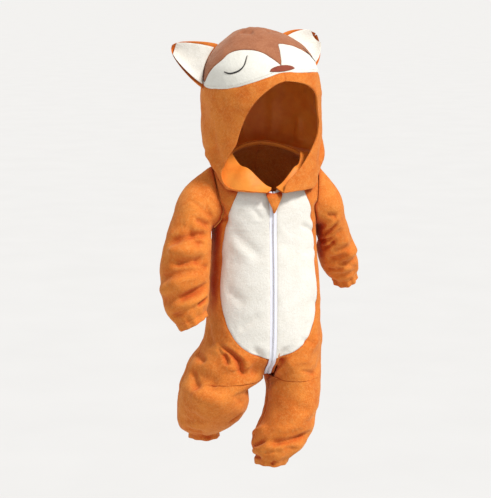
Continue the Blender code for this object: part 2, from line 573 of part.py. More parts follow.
def build_hood(collection, looks):
    for side, hand in ((-1, "right"), (1, "left")):
        start = curve(*OPEN[side], HOOD_SHARE)
        cols = len(HOOD_ANGLES) - 1

        def panel(u, v, share=HOOD_SHARE, start=start, side=side):
            angle = start[v] + (179.78 - start[v]) * HOOD_ANGLES[u] / 180
            top = hood_row(curve(SEAM_ANGLE, FACE_LOWER[side], angle) - SEAM)
            return hood(side, top * share[v], angle)

        cloth(collection, f"hood_{hand}", looks["orange"], cols, len(HOOD_SHARE) - 1, panel, flip=side < 0)

        lining_rows = slice(0 if side < 0 else 3, -1)
        lining_share, lining_start = HOOD_SHARE[lining_rows], start[lining_rows]

        def lining(u, v, share=lining_share, start=lining_start, side=side):
            angle = start[v] + (179.78 - start[v]) * HOOD_ANGLES[u] / 180
            top = hood_row(curve(SEAM_ANGLE, FACE_LOWER[side], angle) - SEAM)
            deep = -(.0002 + .0032 * smooth(HOOD_ANGLES[u] / 50) * smooth((share[v] - .40) / .2))
            return hood(side, top * share[v], angle, deep)

        cloth(collection, f"lining_{hand}", looks["lining"], cols, len(lining_share) - 1, lining,
              wall=LINING_WALL, flip=side < 0, inward=True)

    face_rows = 4
    half = HOOD_ANGLES[HOOD_ANGLES < FACE_END + 1]
    face_angles = np.concatenate([-half[:0:-1], half])

    def face(u, v):
        angle = face_angles[u]
        low, high = seam_height(FACE_LOWER, angle) + SEAM, seam_height(FACE_UPPER, angle) - SEAM
        row = hood_row(low + (high - low) * v / face_rows)
        return np.where((angle < 0)[:, None], hood(-1, row, -angle), hood(1, row, angle))

    cloth(collection, "face_patch", looks["cream"], len(face_angles) - 1, face_rows, face)

    crown_rows = 6
    crown_angles = np.concatenate([-HOOD_ANGLES[:0:-1], HOOD_ANGLES])

    def crown(u, v):
        angle = crown_angles[u]
        low = hood_row(seam_height(FACE_UPPER, angle) + SEAM)
        row = low + (HOOD_TOP_ROW - low) * (v / crown_rows) ** .85
        return np.where((angle < 0)[:, None], hood(-1, row, -angle), hood(1, row, angle))

    cloth(collection, "hood_crown", looks["brown"], len(crown_angles) - 1, crown_rows, crown, closed=True)

    nose_cols, nose_rows, nose_half = 8, 2, 13.5

    def nose(u, v):
        angle = (u / nose_cols * 2 - 1) * nose_half
        low = .1800 + .0022 * (angle / nose_half) ** 2
        high = low + .0008 + .0095 * (1 - (angle / nose_half) ** 2) ** .7
        row = hood_row(low + (high - low) * v / nose_rows)
        return np.where((angle < 0)[:, None], hood(-1, row, -angle, WALL + .0004), hood(1, row, angle, WALL + .0004))

    cloth(collection, "nose", looks["nose"], nose_cols, nose_rows, nose, wall=.0010)

    for side, hand in ((-1, "right"), (1, "left")):
        build_ear(collection, looks, side, hand)


def ear_sheet(side, across, along, inset, forward):
    """A rounded triangle from its base on the hood out to its tip; forward moves it toward the face side."""
    (angle_a, low), (angle_b, high) = EAR_BASE[side]
    reach = np.array(EAR_REACH[side]) * (side, 1, 1)

    def place(u, v):
        s = inset + (1 - 2 * inset) * u / across
        t = v / along * (1 - 1.1 * inset)
        angle, height = angle_a + (angle_b - angle_a) * s, low + (high - low) * s
        base = hood(side, hood_row(height), angle, EAR_SEAT[side])
        middle = hood(side, hood_row(np.full(u.shape, (low + high) / 2 + .010)),
                      np.full(u.shape, (angle_a + angle_b) / 2), EAR_SEAT[side])
        tip = middle + reach
        width = .05 + (.72 * (1 - t ** 1.4) + .23 * np.sqrt(1 - t ** 8) if side < 0 else .95 * (1 - t ** 2.4) ** .6)
        point = middle + (tip - middle) * t[:, None] + (base - middle) * width[:, None]
        cup = EAR_CUP * np.sin(np.pi * np.clip(u / across, 0, 1)) * np.sin(np.pi * np.clip(t * .75 + .02, 0, 1))
        lateral = base[:1] - base[-1:]
        face = np.cross(lateral, reach)
        face = face / np.linalg.norm(face)
        face = face * np.sign(-face[0, 1] + 1e-9)
        return point - face * cup[:, None] + face * forward

    return place


def build_ear(collection, looks, side, hand):
    across, along = 8, 7
    cloth(collection, f"ear_{hand}_back", looks["orange"], across, along, ear_sheet(side, across, along, 0.0, 0.0),
          facing=(0, -1, 0), inward=True)
    cloth(collection, f"ear_{hand}_front", looks["cream"], across, along, ear_sheet(side, across, along, 0.09, .0023 if side < 0 else .0032),
          facing=(0, -1, 0), wall=.0018)


def build_closure(collection, looks):
    """The slider at the zip's top, its pull hanging under the guard, and the fleece guard over both."""
    slider, pull, below = (zip_line(np.array([row]), 0, out)[0] for row, out in ((2.0, .0049), (2.22, .0078), (3.0, 0)))
    slope = math.atan2(below[1] - zip_line(np.array([2.0]))[0][1], slider[2] - below[2])
    block(collection, "zip_slider", looks["metal"], (.0074, .0034, .0105), slider, .0008, slope)
    block(collection, "zip_pull", looks["metal"], (.0048, .0010, .0140), pull, .0004, slope)
    width = np.array([.0150, .0150, .0138, .0118, .0092, .0064, .0034, .0010])

    def guard(u, v):
        row = np.linspace(.45, 3.25, 8)[v]
        x = (u / 4 * 2 - 1) * width[v]
        y = body(1, row, angle_at(body_table(1), 1, row, np.abs(x)))
        lift = np.array([.0032, .0066, .0098, .0100, .0100, .0100, .0085, .0046])[v]
        return np.stack([x + .0010, y[:, 1] - lift, y[:, 2]], -1)

    cloth(collection, "zip_guard", looks["orange"], 4, 7, guard, wall=.0020, facing=(0, -1, 0))


def main():
    for old in list(bpy.data.objects):
        bpy.data.objects.remove(old, do_unlink=True)
    collection = make_collection("hooded fleece jumpsuit")
    looks = {
        "orange": material("orange fleece", (.76, .20, .022), .95),
        "cream": material("cream fleece", (.90, .87, .80), .95),
        "brown": material("brown fleece", (.40, .155, .075), .95),
        "nose": material("nose fleece", (.27, .062, .038), .9),
        "lining": material("hood lining", (.80, .24, .030), .7),
        "tape": material("zip tape", (.80, .80, .86), .7),
        "metal": material("zip metal", (.55, .55, .58), .35, 1.0),
    }
    build_body(collection, looks)
    build_hood(collection, looks)
    build_closure(collection, looks)


main()
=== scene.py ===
"""Looks of the hooded fleece jumpsuit: every panel again as a fine shell on its solid's form, in fleece.

Units are metres. The tables and surface functions follow the solids', so each shell lies on its node. Only the
finer creases are added, and the hood's halves are drawn together in the middle.
"""

import math

import bpy
import numpy as np
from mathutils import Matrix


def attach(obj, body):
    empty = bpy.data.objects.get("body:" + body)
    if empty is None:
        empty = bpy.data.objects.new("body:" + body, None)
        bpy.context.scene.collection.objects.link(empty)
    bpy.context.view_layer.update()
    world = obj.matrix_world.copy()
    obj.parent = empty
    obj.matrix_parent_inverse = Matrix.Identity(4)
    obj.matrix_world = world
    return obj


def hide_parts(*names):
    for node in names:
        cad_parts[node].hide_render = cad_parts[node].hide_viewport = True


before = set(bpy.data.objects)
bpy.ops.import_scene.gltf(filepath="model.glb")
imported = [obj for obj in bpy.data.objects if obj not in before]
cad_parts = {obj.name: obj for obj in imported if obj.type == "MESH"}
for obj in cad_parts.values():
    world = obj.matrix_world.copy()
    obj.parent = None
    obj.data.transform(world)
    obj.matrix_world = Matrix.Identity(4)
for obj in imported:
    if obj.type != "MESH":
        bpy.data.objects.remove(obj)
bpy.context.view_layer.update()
STEP = .0027     # spacing of the shells' points
THICK = .0017                             # of one shell
MM = .001

ARM_COLUMNS = 20
WALL = 0.0022           # thickness of the fleece
ZIP_HALF = 0.0070       # the fronts stop this far from the centre line
ZIP_CHAIN_HALF = 0.0022
BACK_SEAM_HALF = 0.0002
HEAD_TURN = math.radians(11.0)      # the hood is turned toward the wearer's left
HEAD_TILT = 0.10                    # and leans toward the wearer's right: height gained per metre of x
TURN_FULL_AT = 0.060                # height at which the hood has its full turn

# Rings of the body and the legs. z is given at the front, at 50 degrees, at the side and at the back.
# Angles run from 0 at the front over 90 at the outer side to 180 at the back.
RING = ("z_front", "z_diagonal", "z_side", "z_back", "half_width", "depth_front", "depth_back", "shift_x", "shift_y",
        "squareness")


def rings(*rows):
    """A form's rings. One that is level is written with a single z, for all four."""
    return tuple(row[:1] * (11 - len(row)) + row[1:] for row in rows)


TRUNK = rings(
    (-.0435, -.0065, .0165, .0345, .066, .063, .050, 0, -.014, 2.0),  # 0 neck seam
    (-.0530, -.026, .0070, .0215, .084, .070, .066, 0, -.010, 2.0),  # 1 slope of the shoulder
    (-.064, -.049, -.005, .003, .103, .074, .078, 0, -.006, 2.1),  # 2 shoulder point
    (-.080, -.070, -.040, -.030, .108, .078, .084, 0, -.004, 2.2),  # 3
    (-.100, -.095, -.080, -.075, .103, .080, .085, 0, -.002, 2.2),  # 4 chest
    (-.135, -.135, -.130, -.130, .099, .082, .086, 0, 0, 2.2),  # 5 armpit
    (-.180, .102, .086, .088, 0, 0, 2.2),  # 6
    (-.240, .108, .089, .092, 0, 0, 2.2),  # 7 belly
    (-.295, .110, .089, .098, 0, 0, 2.2),  # 8
    (-.335, .111, .087, .101, .003, 0, 2.2),  # 9 seat
)
LEG_RIGHT = rings(
    (-.362, .100, .085, .100, .024, .001, 2.1),  # 10
    (-.390, .080, .084, .096, .066, .003, 2.0),  # 11
    (-.417, .077, .086, .088, .0804, .002, 2.0),  # 12 crotch
    (-.438, .065, .089, .080, .1010, -.002, 2.0),  # 13
    (-.466, .068, .084, .078, .1010, .002, 2.0),  # 14 knee
    (-.492, .064, .074, .072, .1045, .012, 2.0),  # 15
    (-.513, .056, .062, .060, .1100, .024, 2.0),  # 16
    (-.530, .042, .047, .045, .1145, .037, 2.0),  # 17
    (-.541, -.541, -.542, -.544, .0275, .033, .033, .1120, .046, 2.0),  # 18 elastic
    (-.552, -.552, -.554, -.557, .0290, .035, .035, .1110, .050, 2.0),  # 19 hem
)
LEG_LEFT = rings(
    (-.362, .094, .085, .100, .018, .001, 2.1),
    (-.390, .064, .084, .096, .048, .003, 2.0),
    (-.417, .054, .080, .090, .0575, .002, 2.0),
    (-.446, .051, .074, .084, .0580, -.006, 2.0),
    (-.474, .050, .070, .076, .0545, -.014, 2.0),
    (-.500, .051, .067, .068, .046, -.022, 2.0),
    (-.526, .054, .062, .062, .034, -.030, 2.0),
    (-.552, .050, .056, .054, .020, -.036, 2.0),
    (-.572, -.572, -.574, -.577, .0335, .042, .040, .0095, -.038, 2.0),
    (-.585, -.585, -.588, -.592, .0300, .037, .036, .007, -.038, 2.0),
)
BODY_ROWS = 19  # last row of the trunk and leg tables together
CROTCH_ROW = 12
ARMHOLE = {-1: (3.35, 1.50, 34), 1: (3.35, 1.50, 33)}  # middle row, half height in rows, half width in degrees

# Cream belly panel: half width at each row of the body.
BELLY_ROW = (0, 1, 2, 3, 4, 5, 6, 7, 8, 8.6, 9, 9.4, 9.75, 10.0, 10.2)
BELLY_HALF = (.048, .058, .066, .075, .082, .087, .092, .095, .087, .077, .068, .056, .042, .027, .0112)
BELLY_END = 10.2

# Rings of the hood, from the neck seam over the turn onto the shoulders and up to the crown.
HOOD = rings(
    (-.0375, .001, .0225, .0405, .066, .067, .050, 0, -.014, 2.0),  # 0 neck seam
    (-.0430, -.014, .0190, .0330, .086, .080, .068, 0, -.011, 2.0),  # 1 over the shoulder
    (-.0440, -.040, .0160, .0240, .100, .092, .085, .002, -.008, 2.0),  # 2 lowest, flared edge
    (-.0230, -.020, .0240, .0300, .108, .094, .096, .003, -.003, 2.0),  # 3
    (.018, .018, .044, .050, .1115, .096, .102, .003, 0, 2.0),  # 4
    (.060, .060, .073, .078, .1135, .102, .107, .002, 0, 2.0),  # 5
    (.098, .098, .103, .106, .1125, .114, .110, .001, 0, 2.0),  # 6
    (.133, .133, .134, .135, .1110, .124, .112, 0, 0, 2.1),  # 7
    (.165, .1075, .121, .108, 0, 0, 2.1),  # 8 over the opening
    (.190, .1015, .108, .102, 0, 0, 2.1),  # 9
    (.2110, .090, .088, .091, 0, .002, 2.1),  # 10
    (.2300, .071, .064, .075, -.002, .004, 2.1),  # 11
    (.2450, .048, .041, .055, -.004, .006, 2.0),  # 12
    (.2550, .025, .020, .033, -.007, .008, 2.0),  # 13
    (.2590, .001, .001, .001, -.010, .010, 2.0),  # 14 apex
)
HOOD_TOP_ROW = 14

# Edge of the face opening: fractions of the way up the side panel, and the angle from the front at each. On the
# wearer's right the lapel lies turned out; on the left the edge climbs from the zip.
OPEN = {
    -1: ((0, .08, .16, .22, .24, .262, .285, .31, .345, .42, .50, .565, .62, .70, .775, .84, .88, .91, .925, .932, 1),
         (3, 5, 7.5, 10, 18, 34, 45, 51, 56, 57, 54, 50, 45.5, 42, 38, 32.5, 26, 17, 9, .12, .12)),
    1: ((0, .13, .266, .345, .432, .511, .598, .66, .70, .775, .84, .88, .91, .925, .932, 1),
        (5, 7.5, 9.5, 12.5, 25, 35.5, 47, 49, 47, 44, 39, 33, 24, 14, .12, .12)),
}

# Fox face: height of each colour seam on the hood at an angle from the front, on each side.
SEAM_ANGLE = (0, 6, 14, 28, 40, 48, 61, 68, 76, 86, 95, 105, 120, 140, 180)
FACE_LOWER = {
    -1: (.1785, .1775, .174, .168, .163, .160, .158, .158, .158, .159, .162, .1720, .190, .207, .212),
    1: (.1785, .1775, .175, .172, .170, .168, .165, .164, .163, .162, .163, .1720, .190, .207, .212),
}
FACE_UPPER = {
    -1: (.190, .202, .214, .222, .2235, .223, .218, .208, .200, .186, .169, .1728, .190, .207, .212),
    1: (.190, .212, .227, .223, .213, .204, .194, .190, .186, .180, .169, .1728, .190, .207, .212),
}

# Sleeve sections: centre, half width across and fore-and-aft, and how the section leans (degrees: the axis swings
# outward, then forward).
SLEEVE = ("x", "y", "z", "half_out", "half_fore", "swing_out", "swing_fore")
SLEEVE_RIGHT = (
    (-.133, -.010, -.0860, .0475, .050, 58, 10),
    (-.1465, -.024, -.123, .0440, .050, 33, 14),
    (-.1560, -.034, -.157, .0460, .051, 14, 12),
    (-.1630, -.042, -.198, .0480, .051, 3, 10),
    (-.1630, -.048, -.237, .0460, .048, -4, 8),
    (-.1600, -.052, -.266, .0420, .044, -14, 6),
    (-.1540, -.055, -.284, .0320, .034, -24, 6),
    (-.1490, -.057, -.296, .0305, .032, -28, 6),
)
SLEEVE_LEFT = (
    (.128, .002, -.0900, .0380, .048, 57, -6),
    (.1350, .012, -.122, .0340, .047, 36, -16),
    (.1450, .024, -.153, .0350, .045, 22, -22),
    (.1545, .036, -.178, .0380, .043, 14, -25),
    (.1630, .048, -.202, .0385, .040, 11, -26),
    (.1720, .058, -.222, .0340, .035, 14, -26),
    (.1790, .064, -.235, .0255, .028, 16, -26),
    (.1835, .070, -.247, .0260, .029, 18, -26),
)

# Folds. Each runs between two places on its form (angle, row, angle, row) and has a width and a depth in
# millimetres. A negative depth is a trough, a positive one a ridge. The first ones are the solids' own large folds,
# the later and finer ones are creases that only the finished look has, at the front and then behind.
BODY_FOLDS = {
    -1: (
        (22, 9.1, -40, 11.8, 9, -6.1), (55, 9, 10, 11.2, 14, 5.4), (60, 3, 52, 4.6, 9, -4.7),
        (88, 8.2, 62, 9.6, 11, -4.7), (75, 11, 15, 12, 14, -5.4), (80, 15.6, 20, 14.6, 11, -5.4),
        (60, 16.2, 10, 16.6, 9, -4.7), (100, 16.8, 170, 15.9, 10, -5.4), (120, 11.2, 200, 12.2, 11, -6.1),
        (110, 8, 165, 8.6, 13, -4.7), (125, 4.9, 160, 6, 11, -4.1), (140, 13.6, 220, 14.2, 11, -4.7),
        (-10, 13.4, 60, 13, 14, 4.7), (62, 5.6, 70, 7, 11, -3.4), (61, 8.94, -21, 11.52, 5.5, -9.5),
        (45, 9.72, 23, 10.68, 5, -7), (77, 11.16, 41, 12.6, 8, -7), (57, 9.36, 31, 10.44, 4, -3),
        (38, 9.42, -14, 10.98, 6, 3.5), (49, 3.96, 76, 4.56, 4, -3.5), (48, 4.5, 10, 5.94, 9, -3),
        (52, 6.78, 27, 7.38, 8, -3), (36, 8.34, 12, 7.62, 8, -2.5), (48, 5.22, 21, 5.88, 8, 2.2),
        (-25, 15.3, -47, 14.58, 5, -6.5), (74, 14.4, 32, 14.46, 8, -3), (62, 16.74, -26, 18.42, 6, -3),
        (95, 10.26, 55, 10.56, 6, -5.5), (38, 12.06, -13, 12.48, 14, -2.5), (-21, 12.78, -42, 13.8, 6, -3.5),
        (23, 2.64, 12, 4.02, 5, -2), (52, 6.12, 35, 5.94, 6, -2), (150, 3.2, 128, 5, 8, -3),
        (165, 6.4, 140, 7.2, 9, -3), (120, 9, 155, 10.2, 6, -7), (150, 10.6, 195, 11.4, 6, -7),
        (110, 12.4, 165, 13, 9, -5.5), (120, 14.2, 180, 15, 6, -7), (100, 16.6, 150, 17.4, 5, -5.5),
    ),
    1: (
        (20, 9.2, -40, 11.6, 9, -6.1), (58, 8.8, 12, 11, 14, 5.4), (58, 3, 50, 4.5, 9, -4.1),
        (88, 7.6, 64, 9.2, 11, -4.1), (78, 10.6, 10, 12, 14, -4.7), (85, 14.4, -20, 15.9, 10, -6.1),
        (70, 15.8, -10, 16.7, 10, -6.1), (-30, 17, 40, 17.2, 9, -5.4), (100, 16.2, 180, 16.9, 10, -6.1),
        (120, 11, 200, 12, 11, -6.1), (112, 7.4, 168, 8.2, 13, -4.7), (128, 4.8, 160, 5.8, 11, -4.1),
        (140, 14, 230, 14.8, 11, -4.7), (60, 5.8, 68, 7.2, 11, -3.4), (-116, 12.84, 20, 9.78, 5.5, -9.5),
        (-116, 13.32, -6, 10.86, 9, -5.5), (-49, 16.38, 53, 15.9, 7, -9.5), (-42, 16.08, -116, 17.58, 5, -8.5),
        (-120, 17.88, -46, 17.82, 4, -5.5), (-14, 18.78, -3, 17.88, 4, -5.5), (-116, 16.5, -59, 15.36, 6, 4),
        (3, 11.1, 41, 11.7, 4, -3), (5, 9.72, -116, 12.3, 6, 2.5), (-49, 15.48, 58, 15.06, 7, 3),
        (-22, 13.56, 27, 14.16, 9, -2.5), (-11, 16.62, 40, 17.04, 6, -3.5), (-44, 17.28, -22, 16.92, 4, -3.5),
        (29, 4.38, 65, 4.98, 5, -2.5), (37, 5.58, 66, 5.64, 5, -2.5), (39, 7.32, 66, 7.68, 6, -3),
        (26, 8.88, 46, 9.42, 6, -2.5), (10, 5.04, 30, 6, 9, -1.6), (11, 7.2, 30, 6.96, 9, -1.6),
        (148, 3.6, 126, 5.2, 8, -3), (160, 6.9, 136, 6.4, 9, -3), (118, 9.4, 158, 10.4, 6, -7),
        (145, 11.2, 190, 11.8, 6, -7), (105, 12.8, 160, 13.6, 9, -5.5), (125, 15, 185, 15.6, 6, -7),
        (90, 16.4, 140, 17.2, 5, -5.5),
    ),
}
SLEEVE_FOLDS = {
    -1: (
        (-30, 3.4, 150, 2.9, 9, -7.4), (-20, 4.4, 140, 4, 9, -6.1), (10, 5.4, 120, 4.8, 10, -6.1),
        (60, 1, 120, 1.9, 9, -5.4), (30, 2.2, 110, 2.4, 11, 5.4), (-10, 3.9, 90, 3.5, 11, 5.4),
        (200, 2.6, 300, 3.4, 10, -6.8), (180, 4.3, 290, 4.7, 10, -6.1), (160, 1.6, 220, 2.2, 10, -5.4),
        (44, .24, 126, -.28, 4, -3), (78, .72, 140, .16, 5, -6.5), (18, 2.08, 142, .8, 7, -9.5),
        (40, 2.76, 142, 2.36, 7, -9.5), (98, 2.56, 156, 2.84, 4.5, -5.5), (54, 4.32, 156, 3.6, 6.5, -8.5),
        (106, 4.88, 150, 4.52, 4.5, -6.5), (20, 2.36, 126, 1.88, 8, 6), (32, 3.52, 136, 3, 8, 6),
        (70, 4.96, 156, 4.08, 6, 3.5), (82, -.32, 122, -.32, 4, -3), (22, 1.44, 64, 1.04, 9, -2.5),
        (14, 5.28, 68, 5.28, 5, -2.5), (80, 1.68, 132, 1.6, 4, -2.5), (200, .4, 262, 1, 6, -5.5),
        (190, 1.8, 300, 2.4, 7, -7), (210, 3, 320, 3.5, 7, -7), (200, 4.4, 290, 4.9, 6, -5.5),
    ),
    1: (
        (0, 2.6, 120, 2, 9, -6.1), (-10, 3.8, 130, 3.2, 9, -6.1), (20, 5, 140, 4.4, 9, -5.4),
        (60, 1, 120, 1.7, 9, -5.4), (0, 3.3, 90, 2.7, 11, 4.7), (200, 2.4, 300, 3.2, 10, -6.1),
        (180, 4, 290, 4.6, 10, -5.4), (160, 1.5, 220, 2.1, 10, -5.4), (112, -.32, 78, .4, 5, -5.5),
        (146, .8, 74, .6, 4.5, -7), (156, 1.32, 98, 1.24, 4, -5.5), (152, 2, 90, 1.44, 4.5, -6.5),
        (136, 2.92, 56, 2.76, 8, -9.5), (146, 3.88, 84, 3.96, 5, -5.5), (142, .36, 62, .52, 5, 3.5),
        (140, 1.6, 68, 1.28, 5, 3.5), (92, 3.08, 26, 4.76, 5, -3), (64, 1.68, 22, 2.84, 7, 3),
        (190, .6, 268, .9, 6, -5.5), (205, 2, 310, 1.7, 7, -7), (200, 3.2, 300, 3, 7, -7),
        (215, 4.6, 300, 4.4, 6, -5.5),
    ),
}
HOOD_FOLDS = {
    -1: (
        (52, 3.4, 75, 4.6, 11, -5.4), (70, 2.4, 96, 3.6, 14, 4.7), (100, 3, 150, 4.2, 14, -6.1),
        (80, 5, 100, 7, 16, -3.4), (150, 2.6, 176, 3.4, 11, -5.4), (160, 5.5, 176, 8, 16, -3.4),
        (10, 12.6, 70, 12.9, 8, -4.7), (92, 1.6, 104, 4.2, 6, -3), (70, 3.2, 76, 6.2, 8, -3),
        (118, 2.4, 128, 5.6, 8, -5.5), (150, 3, 140, 6.5, 10, -5.5), (110, 8.5, 150, 9.5, 10, -3),
    ),
    1: (
        (52, 3.4, 72, 4.5, 11, -5.4), (70, 2.4, 96, 3.8, 14, 4.7), (100, 3.2, 150, 4, 14, -6.1),
        (82, 5.2, 100, 7.2, 16, -3.4), (150, 2.4, 176, 3.2, 11, -5.4), (20, 12.5, 80, 12.2, 8, -3.4),
        (58, 2.4, 72, 4.6, 7, -3), (76, 4.4, 80, 7, 8, -3), (122, 2.6, 116, 5.4, 8, -5.5),
        (152, 3.4, 143, 6.8, 10, -5.5), (112, 8.8, 148, 9.2, 10, -3),
    ),
}
HEM_GATHERS, CUFF_GATHERS = 8, 10    # waves round each leg hem and each cuff, a ridge at every seam
CUFF_GATHER_DEPTH = .0013

EAR_BASE = {-1: ((96, .158), (117, .232)), 1: ((96, .160), (117, .232))}   # lower front and upper back corner
EAR_REACH = {-1: (.062, .034, .026), 1: (.050, .040, .027)}    # from the middle of the base to the tip
EAR_SEAT = {-1: WALL + .0012, 1: WALL + .0010}       # how far its base lies off the hood's form
EAR_CUP = .010                      # how far its middle stands behind its edges


def curve(knots, values, at):
    """A smooth curve through a table's values that never overshoots them. Values may have several columns."""
    t, p, at = np.asarray(knots, float), np.asarray(values, float), np.asarray(at, float)
    flat = p.ndim == 1
    p = p[:, None] if flat else p
    h = np.diff(t)[:, None]
    d = np.diff(p, axis=0) / h
    slope = np.zeros_like(p)
    w1, w2 = 2 * h[1:] + h[:-1], h[1:] + 2 * h[:-1]
    same = d[:-1] * d[1:] > 0
    safe = np.where(same, d[:-1], 1.0), np.where(same, d[1:], 1.0)
    slope[1:-1] = np.where(same, (w1 + w2) / (w1 / safe[0] + w2 / safe[1]), 0)
    slope[0], slope[-1] = d[0], d[-1]
    x = np.clip(at, t[0], t[-1])
    i = np.clip(np.searchsorted(t, x, side="right") - 1, 0, len(t) - 2)
    step = h[i, 0]
    s = ((x - t[i]) / step)[..., None]
    step = step[..., None]
    out = ((1 + 2 * s) * (1 - s) ** 2 * p[i] + s * (1 - s) ** 2 * step * slope[i]
           + s * s * (3 - 2 * s) * p[i + 1] + s * s * (s - 1) * step * slope[i + 1])
    return out[..., 0] if flat else out


def smooth(x):
    x = np.clip(np.asarray(x, float), 0, 1)
    return x * x * (3 - 2 * x)


def columns(table, row):
    return dict(zip(RING, np.moveaxis(curve(range(len(table)), table, row), -1, 0)))


def ring_point(table, side, row, angle):
    """A point of a stack of rings, before any fold. side is -1 for the wearer's right, 1 for the left."""
    row, angle = np.broadcast_arrays(np.asarray(row, float), np.asarray(angle, float))
    c = columns(table, row)
    s, k = np.sin(np.radians(angle)), np.cos(np.radians(angle))
    n = c["squareness"]
    r = (np.abs(s) ** n + np.abs(k) ** n + 1e-12) ** (-1 / n)
    depth = np.where(k > 0, c["depth_front"], c["depth_back"])
    turn = np.abs((angle + 180) % 360 - 180)
    t = smooth(turn / 50), smooth((turn - 50) / 40), smooth((turn - 90) / 90)
    z = (c["z_front"] + (c["z_diagonal"] - c["z_front"]) * t[0] + (c["z_side"] - c["z_diagonal"]) * t[1]
         + (c["z_back"] - c["z_side"]) * t[2])
    return np.stack([side * (c["shift_x"] + c["half_width"] * s * r), c["shift_y"] - depth * k * r, z], -1)


def angle_at(table, row, across, back=False):
    """The angle at which a ring is this far from the centre line, on its front or its back."""
    row = np.asarray(row, float)
    sweep = np.linspace(-90, 90, 181)
    rows, inverse = np.unique(np.round(row, 6).ravel(), return_inverse=True)
    grid = ring_point(table, 1, rows[:, None], sweep[None, :])[..., 0]
    across = np.broadcast_to(np.asarray(across, float), row.shape).ravel()
    out = np.array([np.interp(a, grid[i], sweep) for a, i in zip(across, inverse)]).reshape(row.shape)
    return 180 - out if back else out


def body_table(side):
    return TRUNK + (LEG_RIGHT if side < 0 else LEG_LEFT)


def lay_folds(points, normals, form, laid):
    """Moves points along their normals by the folds' soft profile, fading out toward each fold's ends."""
    out = np.zeros(points.shape[:-1])
    steps = np.linspace(0, 1, 9)
    for angle_a, row_a, angle_b, row_b, width, depth in laid:
        line = form(row_a + (row_b - row_a) * steps, angle_a + (angle_b - angle_a) * steps)
        best = np.full(out.shape, 1e9)
        along = np.zeros(out.shape)
        for i, (a, b) in enumerate(zip(line[:-1], line[1:])):
            ab = b - a
            s = np.clip((points - a) @ ab / (ab @ ab), 0, 1)
            gap = np.linalg.norm(points - a - s[..., None] * ab, axis=-1)
            nearer = gap < best
            best, along = np.where(nearer, gap, best), np.where(nearer, (i + s) / 8, along)
        out += depth * MM * np.exp(-(best / (width * MM)) ** 2) * smooth(4 * along) * smooth(4 * (1 - along))
    return points + normals * out[..., None]


def normals_of(form, row, angle, outward=1):
    step_r, step_a = 0.02, 0.6
    along = form(row + step_r, angle) - form(row - step_r, angle)
    around = form(row, angle + step_a) - form(row, angle - step_a)
    n = np.cross(around, along) * outward
    return n / (np.linalg.norm(n, axis=-1, keepdims=True) + 1e-15)


def gathers(row, angle, start, end, waves):
    """Waves round an elastic hem, growing toward it."""
    row, turn = np.asarray(row, float), np.radians(np.asarray(angle, float) - 90)
    return CUFF_GATHER_DEPTH * (np.cos(turn * waves) + .4 * np.cos(turn * 4)) * smooth((row - start) / (end - start))


def folded(form, side, row, angle, limits, creases, out, outward, waves=0, fade=1):
    """A point of a form with its folds and its elastic's waves; out moves it off the cloth. A fade leaves only that
    share of the folds, and the normal is taken at the nearest row within the limits."""
    row, angle = np.broadcast_arrays(np.asarray(row, float), np.asarray(angle, float))
    here = lambda r, a: form(side, r, a)
    points = here(row, angle)
    normal = normals_of(here, np.clip(row, *limits), angle, outward)
    moved = lay_folds(points, normal, here, creases[side]) - points
    return points + moved * (fade + 0 * row)[..., None] + normal * (out + waves + 0 * row)[..., None]


def body_ring(side, row, angle):
    return ring_point(body_table(side), side, row, angle)


def body(side, row, angle, out=0.0):
    """A point on the outer face of the body or a leg."""
    waves = gathers(row, angle, 15.6, 18.5, HEM_GATHERS)
    return folded(body_ring, side, row, angle, (.03, BODY_ROWS - .03), BODY_FOLDS, out, -side, waves)


def hood_turn(p, row):
    """Turns and leans the hood, none at the neck seam and all of it above the shoulders."""
    share = smooth((p[..., 2] + .02) / (TURN_FULL_AT + .02)) * smooth(row / 2.5)
    a = HEAD_TURN * share
    x, y = p[..., 0], p[..., 1]
    turned = np.stack([x * np.cos(a) - y * np.sin(a), x * np.sin(a) + y * np.cos(a), p[..., 2]], -1)
    turned[..., 2] += HEAD_TILT * share * turned[..., 0]
    turned[..., 0] -= HEAD_TILT * share * np.maximum(p[..., 2], 0) * .6
    return turned


def hood_ring(side, row, angle):
    """A positive shift widens the hood on both sides; a negative one moves its crown to the wearer's right."""
    points = ring_point(HOOD, side, row, angle)
    points[..., 0] += (1 - side) * np.minimum(columns(HOOD, row)["shift_x"], 0)
    ends = smooth(angle / 30) * smooth((180 - angle) / 30)            # the halves meet at the front and the back
    points[..., 0] -= side * np.maximum(columns(HOOD, row)["shift_x"], 0) * (1 - ends)
    return hood_turn(points, row)


def hood(side, row, angle, out=0.0):
    kept = smooth(angle / 12) * smooth((180 - angle) / 12) * smooth((HOOD_TOP_ROW - row) / 1.4)
    fade = 1 - smooth((row - 8.5) / 1.5) * (1 - kept)      # on the crown both sides' folds end before the middle
    return folded(hood_ring, side, row, angle, (.03, HOOD_TOP_ROW - .4), HOOD_FOLDS, out, side, fade=fade)


def hood_row(height):
    """The hood's row at a height, where its rings are level."""
    rows = np.linspace(6, HOOD_TOP_ROW, 161)
    return np.interp(height, columns(HOOD, rows)["z_side"], rows)


def seam_height(table, angle):
    """Height of a colour seam; a negative angle is on the wearer's right."""
    return np.where(angle < 0, curve(SEAM_ANGLE, table[-1], abs(angle)), curve(SEAM_ANGLE, table[1], abs(angle)))


def armhole(side, phi):
    """Row and angle of the armhole seam; phi runs from the shoulder over the front to the armpit."""
    middle, half_row, half_angle = ARMHOLE[side]
    phi = np.radians(phi)
    return middle - half_row * np.cos(phi), 90 - half_angle * np.sin(phi)


